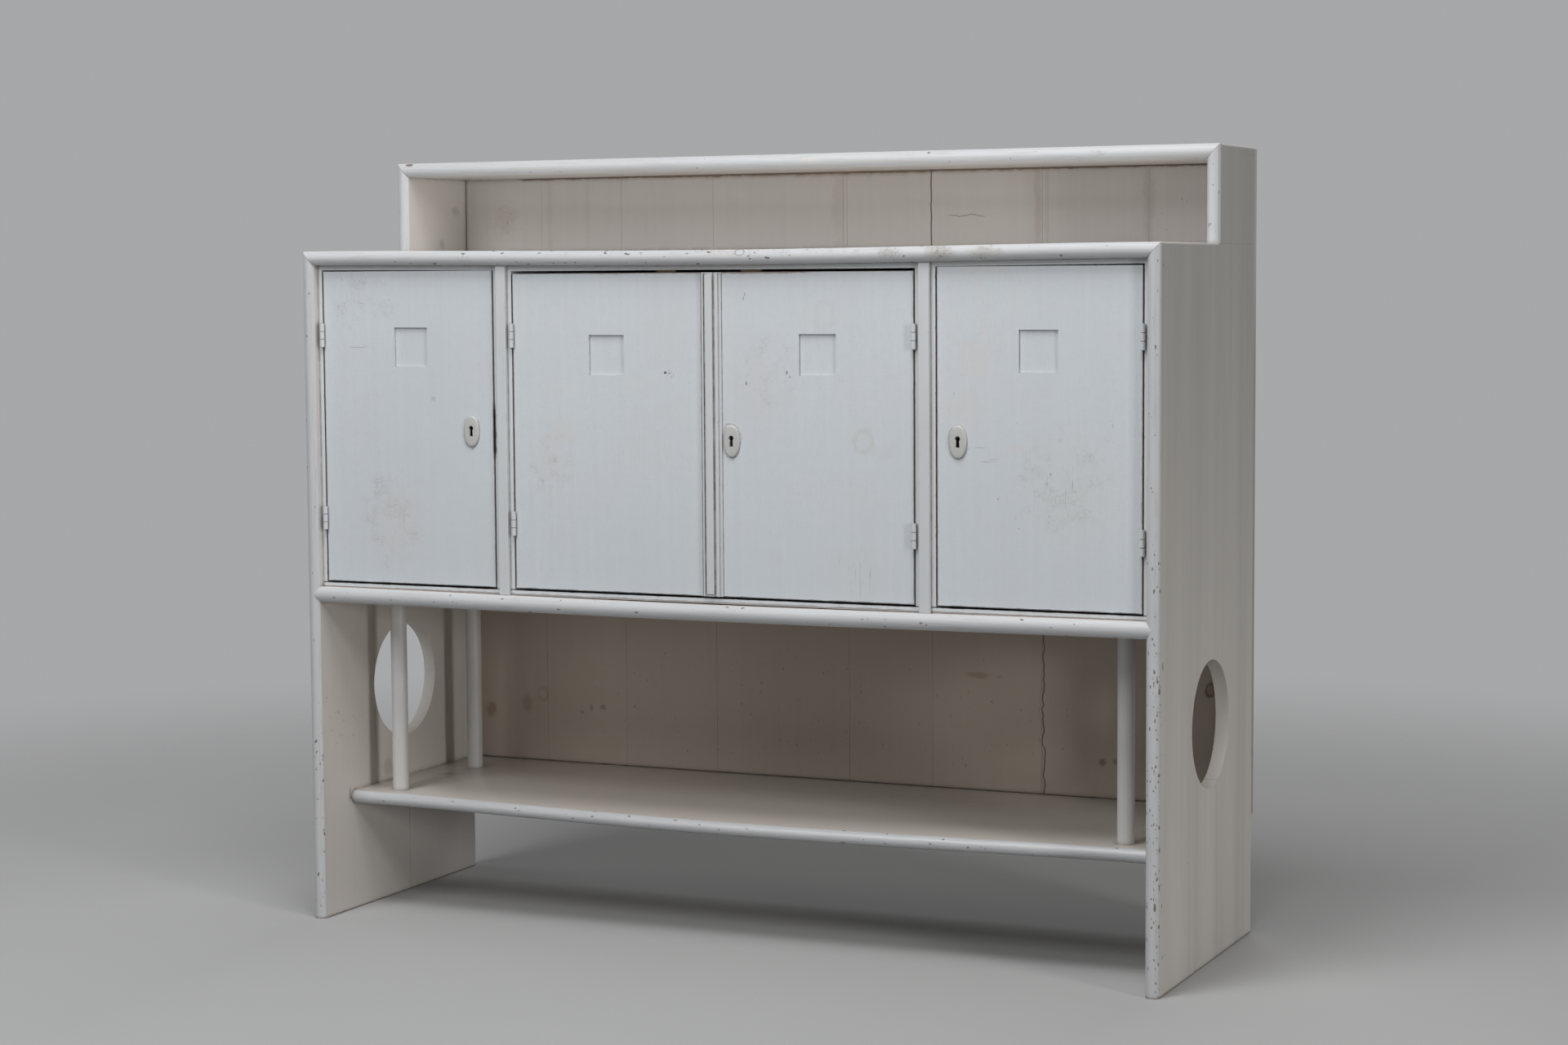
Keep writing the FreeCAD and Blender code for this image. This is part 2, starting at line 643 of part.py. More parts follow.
# The hinged side of each door: -1 is its left edge.
HINGE_HANDS = {"door_1": -1, "door_2": -1, "door_3": 1, "door_4": 1}
LOCKED_DOORS = ("door_1", "door_3", "door_4")
PAIR_BACKSET = S.cover_width + S.escutcheon_margin + S.escutcheon_width / 2
BACKSETS = {"door_1": S.left_backset, "door_3": PAIR_BACKSET, "door_4": S.right_backset}
KEYHOLE_HEIGHTS = {"door_1": S.left_keyhole_height, "door_3": S.pair_keyhole_height,
                   "door_4": S.right_keyhole_height}
LOCK_MIDDLES = {door: height + S.lock_rise for door, height in KEYHOLE_HEIGHTS.items()}
PAIR_HEAD = DECK_UNDERSIDE - S.lining_width - S.pair_head_gap
DOOR_HEADS = {"door_1": DOOR_HEAD, "door_2": PAIR_HEAD, "door_3": PAIR_HEAD, "door_4": DOOR_HEAD}
HINGE_HEIGHTS = (DOOR_FOOT + S.hinge_inset, DOOR_HEAD - S.hinge_inset)
AXIS_Y = DOOR_FACE - S.axis_proud
LEAF_BOARD = S.door_gap / 2 - S.leaf_clearance
LEAF_START = S.knuckle_radius + S.leaf_relief
SCREW_Y = AXIS_Y + (LEAF_START + S.leaf_depth) / 2
SCREW_HEIGHTS = [height + way * S.screw_spread / 2 for height in HINGE_HEIGHTS for way in (-1, 1)]
BOLT_Y = DOOR_REAR - S.lock_case_depth / 2
ROD_X = DOOR_EDGES["door_2"][1] - S.rod_inset
ROD_Y = DOOR_REAR + S.guide_plate_board + S.guide_wall + S.rod_radius
ROD_TOP = PAIR_HEAD - S.rod_top_room


def hinge_axis_x(door):
    hand = HINGE_HANDS[door]
    edge = DOOR_EDGES[door][0] if hand < 0 else DOOR_EDGES[door][1]
    return edge + hand * S.door_gap / 2


def free_edge_x(door):
    """The door's edge away from its hinges, and which way is out of the door there."""
    return (DOOR_EDGES[door][1], 1) if HINGE_HANDS[door] < 0 else (DOOR_EDGES[door][0], -1)


def pilot_holes(name, start_x, heights, length, direction):
    return [cylinder("{}_pilot_{}".format(name, number), (start_x, SCREW_Y, height),
                     S.screw_radius + S.fit_clearance, length, direction)
            for number, height in enumerate(heights, start=1)]


def keyhole_tools(name, door, front, rear):
    """A round keyhole with a narrower slot below it, cut from front to rear."""
    edge, out = free_edge_x(door)
    x = edge - out * BACKSETS[door]
    z = KEYHOLE_HEIGHTS[door] + S.keyhole_rise
    eye = cylinder(name + "_eye", (x, front, z), S.keyhole_radius, rear - front, "Y")
    slot = box(name + "_slot", (x - S.keyhole_slot / 2, front, z - S.keyhole_drop),
               (x + S.keyhole_slot / 2, rear, z))
    return fuse(name, [eye, slot])


def lock_space(name, door):
    """The seat of a lock in the door: its case, its edge plate and its keyhole."""
    edge, out = free_edge_x(door)
    deep = edge - out * (BACKSETS[door] + S.lock_case_margin)
    half = S.lock_case_height / 2
    middle = LOCK_MIDDLES[door]
    return [
        box(name + "_case_seat",
            (edge + out * S.overrun, DOOR_REAR - S.lock_case_depth, middle - half),
            (deep, DOOR_REAR + S.overrun, middle + half)),
        box(name + "_edge_seat",
            (edge + out * S.overrun, DOOR_REAR - S.selvedge_width, middle - S.selvedge_height / 2),
            (edge - out * S.selvedge_board, DOOR_REAR + S.overrun, middle + S.selvedge_height / 2)),
        keyhole_tools(name + "_keyhole", door, DOOR_FACE - S.overrun,
                      DOOR_REAR - S.lock_case_depth + S.overrun),
    ]


def strike_seat(name, door, face, into, gap):
    """The seat of a door's strike plate in a face, and the pocket for the bolt that comes across the gap."""
    start = face - into * S.overrun
    plate = strike_block(name + "_plate_seat", door, start, face + into * S.strike_board)
    depth = S.bolt_throw - gap + S.strike_room
    return [plate, bolt_pocket(name + "_pocket", door, start, face + into * depth)]


def strike_block(name, door, start, end):
    low = LOCK_MIDDLES[door] - S.strike_height / 2
    return box(name, (start, BOLT_Y - S.strike_width / 2, low),
               (end, BOLT_Y + S.strike_width / 2, low + S.strike_height))


def bolt_pocket(name, door, start, end):
    wide = S.bolt_thickness / 2 + S.bolt_clearance * 2
    high = S.bolt_height / 2 + S.bolt_clearance * 2
    middle = LOCK_MIDDLES[door]
    return box(name, (start, BOLT_Y - wide, middle - high), (end, BOLT_Y + wide, middle + high))


def strike_plate(name, door, face, into):
    plate = strike_block(name + "_blank", door, face, face + into * S.strike_board)
    end = face + into * (S.strike_board + S.overrun)
    hole = bolt_pocket(name + "_hole", door, face - into * S.overrun, end)
    keep(name, cut(name + "_cut", plate, [hole]))


def square_middle(door):
    """Near the middle of the door's clear face, which on the third door starts beside the cover strip."""
    left, right = DOOR_EDGES[door]
    if door == "door_3":
        left = left + S.cover_width
    return (left + right) / 2 + (right - left) * SQUARE_SIDE_SHARES[door]


def door_panel(door):
    left, right = DOOR_EDGES[door]
    hand = HINGE_HANDS[door]
    hinge_edge = left if hand < 0 else right
    head = DOOR_HEADS[door]
    board = box(door + "_board", (left, DOOR_FACE, DOOR_FOOT), (right, DOOR_REAR, head))
    x = square_middle(door)
    z = head - (head - DOOR_FOOT) * SQUARE_DROP_SHARES[door]
    tools = [box(door + "_square", (x - S.square_width / 2, DOOR_FACE - S.overrun, z - S.square_height / 2),
                 (x + S.square_width / 2, DOOR_FACE + S.square_depth, z + S.square_height / 2))]
    screw_depth = S.screw_length - LEAF_BOARD + S.fit_clearance
    tools += pilot_holes(door, hinge_edge, SCREW_HEIGHTS, screw_depth, "X" if hand < 0 else "-X")
    if door in LOCKED_DOORS:
        tools += lock_space(door, door)
    if door == "door_2":
        tools += strike_seat(door, "door_3", right, -1, S.pair_gap)
    keep(door + "_panel", cut(door + "_panel_cut", board, tools))


def lock(door):
    edge, out = free_edge_x(door)
    name = door + "_lock_case"
    deep = edge - out * (BACKSETS[door] + S.lock_case_margin)
    half = S.lock_case_height / 2
    middle = LOCK_MIDDLES[door]
    case = box(name + "_block", (edge, DOOR_REAR - S.lock_case_depth, middle - half),
               (deep, DOOR_REAR, middle + half))
    selvedge = box(name + "_selvedge",
                   (edge, DOOR_REAR - S.selvedge_width, middle - S.selvedge_height / 2),
                   (edge - out * S.selvedge_board, DOOR_REAR, middle + S.selvedge_height / 2))
    wide = S.bolt_thickness / 2 + S.bolt_clearance
    high = S.bolt_height / 2 + S.bolt_clearance
    channel = box(name + "_channel",
                  (edge + out * S.overrun, BOLT_Y - wide, middle - high),
                  (edge - out * (S.bolt_length + S.bolt_clearance), BOLT_Y + wide, middle + high))
    keyway = keyhole_tools(name + "_keyway", door, DOOR_REAR - S.lock_case_depth - S.overrun,
                           DOOR_REAR - S.lock_case_depth + S.key_room)
    keep(name, cut(name + "_cut", fuse(name + "_whole", [case, selvedge]), [channel, keyway]))
    bolt = door + "_lock_bolt"
    thick = S.bolt_thickness / 2
    tall = S.bolt_height / 2
    keep(bolt, box(bolt + "_block", (edge, BOLT_Y - thick, middle - tall),
                   (edge - out * S.bolt_length, BOLT_Y + thick, middle + tall)))


def escutcheon(door):
    """An oval plate with a thin rim and a domed middle, pierced by the keyhole."""
    edge, out = free_edge_x(door)
    name = door + "_escutcheon"
    x = edge - out * BACKSETS[door]
    z = KEYHOLE_HEIGHTS[door]
    dome = doc.addObject("Part::Ellipsoid", name + "_dome")
    for side, size in (("Radius1", S.escutcheon_height / 2 - S.escutcheon_rim),
                       ("Radius2", S.escutcheon_width / 2 - S.escutcheon_rim),
                       ("Radius3", S.escutcheon_dome)):
        setattr(dome, side, size.value)
        dome.setExpression(side, size.formula)
    bind_place(dome, [x, DOOR_FACE, z])
    oval = doc.addObject("Part::Ellipse", name + "_oval")
    for side, size in (("MajorRadius", S.escutcheon_height / 2), ("MinorRadius", S.escutcheon_width / 2)):
        setattr(oval, side, size.value)
        oval.setExpression(side, size.formula)
    upright = Rotation(Vector(0, 0, 1), Vector(1, 0, 0), Vector(0, 1, 0), "XYZ")
    oval.Placement = Placement(Vector(), upright)
    bind_place(oval, [x, DOOR_FACE - S.escutcheon_rim_board, z])
    rim = doc.addObject("Part::Extrusion", name + "_rim")
    rim.Base = oval
    rim.DirMode = "Custom"
    rim.Dir = Vector(0, 1, 0)
    rim.Solid = True
    rim.LengthFwd = S.escutcheon_rim_board.value
    rim.setExpression("LengthFwd", S.escutcheon_rim_board.formula)
    behind = box(name + "_behind",
                 (x - S.escutcheon_width, DOOR_FACE, z - S.escutcheon_height),
                 (x + S.escutcheon_width, DOOR_FACE + S.door_board, z + S.escutcheon_height))
    keyhole = keyhole_tools(name + "_keyhole", door, DOOR_FACE - S.escutcheon_dome - S.overrun,
                            DOOR_FACE + S.overrun)
    keep(name, cut(name + "_cut", fuse(name + "_whole", [dome, rim]), [behind, keyhole]))


def cover_strip():
    """The stepped strip planted along the third door's meeting edge."""
    left = DOOR_EDGES["door_3"][0]
    right = left + S.cover_width
    low_face = DOOR_FACE - S.cover_base
    face = low_face - S.cover_step_rise
    floor = face + S.cover_groove_depth
    step = right - S.cover_step_width
    middle = left + S.cover_ridge_place
    near = middle - S.cover_ridge_width / 2
    far = middle + S.cover_ridge_width / 2
    body = new_body("cover_strip_body")
    base = [(left, DOOR_FACE), (right, DOOR_FACE), (right, low_face), (step, low_face),
            (step, face + S.cover_bevel), (step - S.cover_bevel, face),
            (far + S.cover_groove_width, face), (far + S.cover_groove_width, floor),
            (far, floor), (far, face), (near, face), (near, floor),
            (near - S.cover_groove_width, floor), (near - S.cover_groove_width, face),
            (left + S.cover_bevel, face), (left, face + S.cover_bevel)]
    pad(body, "cover_strip_base", outline(body, "cover_strip_section", "Z", DOOR_FOOT, [base]),
        PAIR_HEAD - DOOR_FOOT)
    crest = face - S.cover_ridge_rise
    ridge = [(near, face), (far, face), (far, crest + S.cover_bevel), (far - S.cover_bevel, crest),
             (near + S.cover_bevel, crest), (near, crest + S.cover_bevel)]
    pad(body, "cover_strip_ridge",
        outline(body, "cover_strip_ridge_section", "Z", DOOR_FOOT + S.cover_ridge_inset, [ridge]),
        PAIR_HEAD - DOOR_FOOT - S.cover_ridge_inset * 2)
    keep("door_3_cover_strip", body)


# Hinges


def leaf_master(name, hand, knuckles):
    """A hinge leaf about the pin's axis at the origin; hand is the side its plate lies on."""
    half = S.hinge_length / 2
    near = hand * S.leaf_clearance
    far = hand * (S.leaf_clearance + LEAF_BOARD)
    pieces = [box(name + "_plate", (near, LEAF_START, -half), (far, S.leaf_depth, half))]
    for number, (low, high) in enumerate(knuckles, start=1):
        pieces.append(cylinder("{}_knuckle_{}".format(name, number), (0, 0, low), S.knuckle_radius,
                               high - low))
        pieces.append(box("{}_neck_{}".format(name, number), (near, 0, low), (far, LEAF_START, high)))
    tools = [cylinder(name + "_bore", (0, 0, -half - S.overrun), S.pin_radius + S.fit_clearance,
                      S.hinge_length + S.overrun * 2)]
    for number, way in enumerate((-1, 1), start=1):
        tools.append(cone("{}_sink_{}".format(name, number),
                          (near, (LEAF_START + S.leaf_depth) / 2, way * S.screw_spread / 2),
                          S.screw_head_radius + S.fit_clearance, S.screw_radius + S.fit_clearance,
                          LEAF_BOARD, "X" if hand > 0 else "-X"))
    return cut(name, fuse(name + "_whole", pieces), tools)


def screw_master():
    """A countersunk wood screw that lies along X from its head at the origin."""
    head = cone("screw_head", (0, 0, 0), S.screw_head_radius, S.screw_radius, LEAF_BOARD, "X")
    shank = cylinder("screw_shank", (LEAF_BOARD, 0, 0), S.screw_radius,
                     S.screw_length - S.screw_point - LEAF_BOARD, "X")
    point = cone("screw_tip", (S.screw_length - S.screw_point, 0, 0), S.screw_radius, S.fit_clearance,
                 S.screw_point, "X")
    return fuse("screw_master", [head, shank, point])


def pin_master():
    half = S.hinge_length / 2
    shaft = cylinder("pin_shaft", (0, 0, -half), S.pin_radius, S.hinge_length)
    heads = [cylinder("pin_head_top", (0, 0, half), S.pin_head_radius, S.pin_head_rise),
             cylinder("pin_head_bottom", (0, 0, -half - S.pin_head_rise), S.pin_head_radius, S.pin_head_rise)]
    return fuse("pin_master", [shaft] + heads)


def hinge_places(doors):
    """Where the hinges of some doors go; on right-hand doors the same leaves stand on their heads."""
    places = []
    for door in doors:
        turn = Rotation() if HINGE_HANDS[door] < 0 else Rotation(Vector(0, 1, 0), HALF_TURN)
        for height in HINGE_HEIGHTS:
            places.append(Placement(Vector(hinge_axis_x(door).value, AXIS_Y.value, height.value), turn))
    return places


def screw_places(doors, into_door):
    places = []
    for door in doors:
        hand = HINGE_HANDS[door]
        way = -hand if into_door else hand
        turn = Rotation() if way > 0 else Rotation(Vector(0, 0, 1), HALF_TURN)
        x = hinge_axis_x(door) + way * S.leaf_clearance
        places += [Placement(Vector(x.value, SCREW_Y.value, z.value), turn) for z in SCREW_HEIGHTS]
    return places


def hinges():
    third = S.hinge_length / 3
    half = S.hinge_length / 2
    gap = S.knuckle_gap / 2
    door_leaf = leaf_master("door_leaf_master", 1, [(-third / 2 + gap, third / 2 - gap)])
    frame_leaf = leaf_master("frame_leaf_master", -1, [(-half, -third / 2 - gap), (third / 2 + gap, half)])
    pin = pin_master()
    screw = screw_master()
    doors = list(DOOR_EDGES)
    keep("hinge_frame_leaves", placed_copies("frame_leaves", frame_leaf, hinge_places(doors)))
    keep("hinge_pins", placed_copies("pins", pin, hinge_places(doors)))
    keep("hinge_frame_screws", placed_copies("frame_screws", screw, screw_places(doors, False)))
    for door in doors:
        keep(door + "_hinge_leaves", placed_copies(door + "_leaves", door_leaf, hinge_places([door])))
        keep(door + "_hinge_screws", placed_copies(door + "_screws", screw, screw_places([door], True)))


# Lining strips, door stops and strikes

LINING_PILOTS = {
    ("left", "left"): ("door_1", "-X"),
    ("middle", "left"): ("door_2", "-X"),
    ("middle", "right"): ("door_3", "X"),
    ("right", "right"): ("door_4", "X"),
}
STRIKE_SIDES = {("left", "right"): 1, ("right", "left"): -1}


def lining(bay):
    """Four thin strips round one doorway, the upright ones drilled for hinge screws or cut for a bolt."""
    left, right = BAYS[bay]
    name = bay + "_bay_lining"
    low = S.cupboard_floor
    high = DECK_UNDERSIDE
    strips = [
        box(name + "_bottom", (left, DOOR_FACE, low), (right, DOOR_REAR, low + S.lining_width)),
        box(name + "_top", (left, DOOR_FACE, high - S.lining_width), (right, DOOR_REAR, high)),
    ]
    for side, wall, toward in (("left", left, 1), ("right", right, -1)):
        face = wall + toward * S.lining_width
        strip = box("{}_{}".format(name, side), (wall, DOOR_FACE, low + S.lining_width),
                    (face, DOOR_REAR, high - S.lining_width))
        if (bay, side) in LINING_PILOTS:
            door, direction = LINING_PILOTS[bay, side]
            depth = S.screw_length - LEAF_BOARD + S.fit_clearance
            tools = pilot_holes(strip.Name, face, SCREW_HEIGHTS, depth, direction)
            strip = cut(strip.Name + "_drilled", strip, tools)
        if (bay, side) in STRIKE_SIDES:
            door = "door_1" if bay == "left" else "door_4"
            seat = strike_seat(strip.Name, door, face, STRIKE_SIDES[bay, side], S.door_gap)
            strip = cut(strip.Name + "_struck", strip, seat)
        strips.append(strip)
    keep(name, group(name + "_group", strips))


def strikes():
    strike_plate("strike_plate_left", "door_1", BAYS["left"][1] - S.lining_width, 1)
    strike_plate("strike_plate_right", "door_4", BAYS["right"][0] + S.lining_width, -1)
    strike_plate("door_2_strike_plate", "door_3", DOOR_EDGES["door_2"][1], -1)


def door_stops():
    """Blocks under the main top that the closed doors rest against."""
    blocks = []
    for door in DOOR_EDGES:
        edge, out = free_edge_x(door)
        x = edge - out * (S.stop_place + S.stop_width)
        blocks.append(box(door + "_stop", (x, DOOR_REAR, DECK_UNDERSIDE - S.stop_drop),
                          (x + out * S.stop_width, DOOR_REAR + S.stop_depth, DECK_UNDERSIDE)))
    keep("door_stop_blocks", group("door_stop_blocks_group", blocks))


# Slide bolt of the second door


def keeper_block(name, half, low, high):
    return box(name, (ROD_X - half, ROD_Y - half, low), (ROD_X + half, ROD_Y + half, high))


def keeper_seat():
    """The keeper plate's seat under the main top and the chiselled pocket for the slide bolt above it."""
    start = DECK_UNDERSIDE - S.overrun
    plate = keeper_block("keeper_plate_seat", S.keeper_width / 2, start, DECK_UNDERSIDE + S.keeper_board)
    pocket_block = keeper_block("keeper_pocket_block", S.rod_radius + S.keeper_clearance, start,
                                DECK_UNDERSIDE + S.keeper_pocket)
    return [plate, pocket_block]


def keeper():
    plate = keeper_block("keeper_plate_block", S.keeper_width / 2, DECK_UNDERSIDE,
                         DECK_UNDERSIDE + S.keeper_board)
    hole = cylinder("keeper_plate_hole", (ROD_X, ROD_Y, DECK_UNDERSIDE - S.overrun),
                    S.rod_radius + S.keeper_clearance, S.keeper_board + S.overrun * 2)
    keep("slide_bolt_keeper", cut("keeper_plate_cut", plate, [hole]))


def slide_bolt():
    """A round bolt in two guides on one plate, screwed inside the second door at its head."""
    block_rear = ROD_Y + S.rod_radius + S.guide_wall
    top_block = ROD_TOP
    blocks = []
    upper_start = top_block - S.guide_block_height
    lower_start = upper_start - S.rod_travel - S.knob_radius * 2 - S.knob_room - S.guide_block_height
    for number, start in enumerate((upper_start, lower_start), start=1):
        blocks.append(box("guide_block_{}".format(number),
                          (ROD_X - S.guide_block_width / 2, DOOR_REAR + S.guide_plate_board, start),
                          (ROD_X + S.guide_block_width / 2, block_rear, start + S.guide_block_height)))
    plate = box("guide_plate", (ROD_X - S.guide_plate_width / 2, DOOR_REAR, lower_start),
                (ROD_X + S.guide_plate_width / 2, DOOR_REAR + S.guide_plate_board, top_block))
    bore = cylinder("guide_bore", (ROD_X, ROD_Y, lower_start - S.overrun), S.rod_radius + S.fit_clearance,
                    top_block - lower_start + S.overrun * 2)
    keep("door_2_bolt_guide", cut("guide_cut", fuse("guide_whole", blocks + [plate]), [bore]))
    rod = cylinder("rod_shaft", (ROD_X, ROD_Y, ROD_TOP - S.rod_length), S.rod_radius, S.rod_length)
    knob_height = lower_start + S.guide_block_height + S.knob_radius + S.fit_clearance
    knob = cylinder("rod_knob", (ROD_X, ROD_Y, knob_height), S.knob_radius, S.rod_radius + S.knob_length, "Y")
    keep("door_2_bolt_rod", fuse("rod_whole", [rod, knob]))


def check_and_write():
    """Stop at anything that failed to build, then write one file for each sub-part."""
    doc.recompute()
    broken = [thing.Name for thing in doc.Objects if "Invalid" in thing.State or "Error" in thing.State]
    if broken:
        raise RuntimeError("these failed: " + ", ".join(broken))
    for name, thing in nodes.items():
        if thing.Shape.isNull() or not thing.Shape.isValid() or not thing.Shape.Solids:
            raise RuntimeError("no valid solid in " + name)
    os.makedirs("parts", exist_ok=True)
    for name, thing in nodes.items():
        thing.Shape.exportStep("parts/{}.step".format(thing.Label))
        print("{:26s} {:3d} solids {:14.1f} mm3".format(name, len(thing.Shape.Solids), thing.Shape.Volume))
    print(len(nodes), "sub-parts")


side("side_left", -1)
side("side_right", 1)
main_top()
hutch_top()
cupboard_bottom()
lower_shelf()
back_boards()
dividers()
posts()
inner_shelves()
for bay_name in BAYS:
    lining(bay_name)
door_stops()
strikes()
keeper()
hinges()
for door_name in DOOR_EDGES:
    door_panel(door_name)
for door_name in LOCKED_DOORS:
    lock(door_name)
    escutcheon(door_name)
cover_strip()
slide_bolt()
check_and_write()
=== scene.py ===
import json
import math
import bmesh
import bpy
from mathutils import Matrix, Vector

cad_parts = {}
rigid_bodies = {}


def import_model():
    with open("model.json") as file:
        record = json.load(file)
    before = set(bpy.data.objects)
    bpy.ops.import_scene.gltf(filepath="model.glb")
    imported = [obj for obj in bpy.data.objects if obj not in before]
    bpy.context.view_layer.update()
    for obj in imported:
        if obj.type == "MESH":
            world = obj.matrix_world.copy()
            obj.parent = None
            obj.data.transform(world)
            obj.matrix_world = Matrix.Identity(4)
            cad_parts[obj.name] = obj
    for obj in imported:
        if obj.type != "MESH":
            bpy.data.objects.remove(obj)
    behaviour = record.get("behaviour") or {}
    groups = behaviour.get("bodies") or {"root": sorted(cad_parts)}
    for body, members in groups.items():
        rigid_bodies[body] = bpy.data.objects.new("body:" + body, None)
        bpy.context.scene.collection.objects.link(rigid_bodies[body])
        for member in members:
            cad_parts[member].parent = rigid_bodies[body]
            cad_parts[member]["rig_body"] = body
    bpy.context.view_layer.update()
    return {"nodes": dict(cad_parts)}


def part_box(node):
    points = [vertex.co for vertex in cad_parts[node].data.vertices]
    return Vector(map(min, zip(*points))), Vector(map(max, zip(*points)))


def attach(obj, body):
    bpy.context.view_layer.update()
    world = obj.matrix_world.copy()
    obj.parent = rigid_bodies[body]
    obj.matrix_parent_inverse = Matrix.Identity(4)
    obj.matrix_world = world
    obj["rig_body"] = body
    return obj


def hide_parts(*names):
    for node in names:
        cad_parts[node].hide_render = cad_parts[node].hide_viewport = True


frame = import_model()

# The painted storage cabinet: finishes, softened edges, light and camera round the CAD model. Metres.

NODES = frame["nodes"]

# Planes of the case that the finishes refer to
OUTSIDE_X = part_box("side_right")[1].x
INSIDE_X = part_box("side_right")[0].x
CREST_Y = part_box("side_left")[0].y
HUTCH_CREST_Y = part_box("hutch_top")[0].y
SHELF_CREST_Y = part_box("lower_shelf")[0].y
DOOR_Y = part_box("door_1_panel")[0].y
BACK_Y, REAR_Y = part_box("back_board_1")[0].y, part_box("back_board_1")[1].y
DECK_UNDER_Z, DECK_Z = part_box("main_top")[0].z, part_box("main_top")[1].z
HUTCH_UNDER_Z, HEAD_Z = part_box("hutch_top")[0].z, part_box("hutch_top")[1].z
BOTTOM_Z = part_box("cupboard_bottom")[0].z
SHELF_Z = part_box("lower_shelf")[1].z
PAIR_HEAD_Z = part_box("door_2_panel")[1].z
POST_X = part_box("post_front_right")[0].x
# The first door's panel, from its foot to its head
FOOT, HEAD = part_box("door_1_panel")

BACK_BOARDS = ["back_board_{}".format(number) for number in range(1, 9)]
DIVIDERS = ("divider_left", "divider_right")
LININGS = ("left_bay_lining", "middle_bay_lining", "right_bay_lining")
INNER_SHELVES = ("left_bay_shelf", "middle_bay_shelf", "right_bay_shelf")
LOCKED_DOORS = ("door_1", "door_3", "door_4")


def colour(red, green, blue):
    return (red, green, blue, 1.0)


# Paint as it shows on the noses, doors, inner faces and outer sides, and what has marked it
NOSE_WHITE = colour(0.540, 0.556, 0.575)
DOOR_WHITE = colour(0.603, 0.645, 0.682)
LINING_WHITE = colour(0.590, 0.618, 0.640)
POST_WHITE = colour(0.606, 0.605, 0.598)
HUTCH_WHITE = colour(0.668, 0.642, 0.616)
BAY_WHITE = colour(0.690, 0.658, 0.625)
# SHADED_WHITE is painted shade: the back boards' paint made darker and warmer for the lower bay
SHADED_WHITE = colour(0.462, 0.398, 0.335)
SHELF_WHITE = colour(0.515, 0.478, 0.440)
BEIGE = colour(0.650, 0.597, 0.539)
PINK = colour(0.661, 0.568, 0.534)
# The outer sides' grey-white is painted shade, greyer up high
OUTSIDE_LOW, OUTSIDE_HIGH = colour(0.695, 0.670, 0.630), colour(0.490, 0.477, 0.452)
PLATE_WHITE = colour(0.500, 0.502, 0.490)
TAN = colour(0.330, 0.245, 0.170)
KNOT = colour(0.200, 0.095, 0.050)
BROWN = colour(0.105, 0.058, 0.034)
GRIME = colour(0.100, 0.074, 0.054)
CHIPPED = colour(0.118, 0.074, 0.052)
SOILED = colour(0.300, 0.275, 0.245)
WORN = colour(0.418, 0.400, 0.371)
RUST = colour(0.190, 0.070, 0.032)
RUSTED = colour(0.150, 0.072, 0.042)
DARK = colour(0.028, 0.022, 0.018)
# Bare wood behind, and the thin wash of paint over it
EARLY_WOOD, LATE_WOOD, THIN_WASH = colour(0.60, 0.49, 0.36), colour(0.40, 0.29, 0.185), colour(0.66, 0.62, 0.55)


# Depths behind a crest between which a rounded nose's paint gives way to the board's
NOSE_ENDS, BOARD_STARTS = 0.005, 0.0105
GLUE_LINE = 0.0011
ARRIS_RADIUS = 0.0022
BUMP_STRENGTH, BUMP_HEIGHT = 0.30, 0.0006


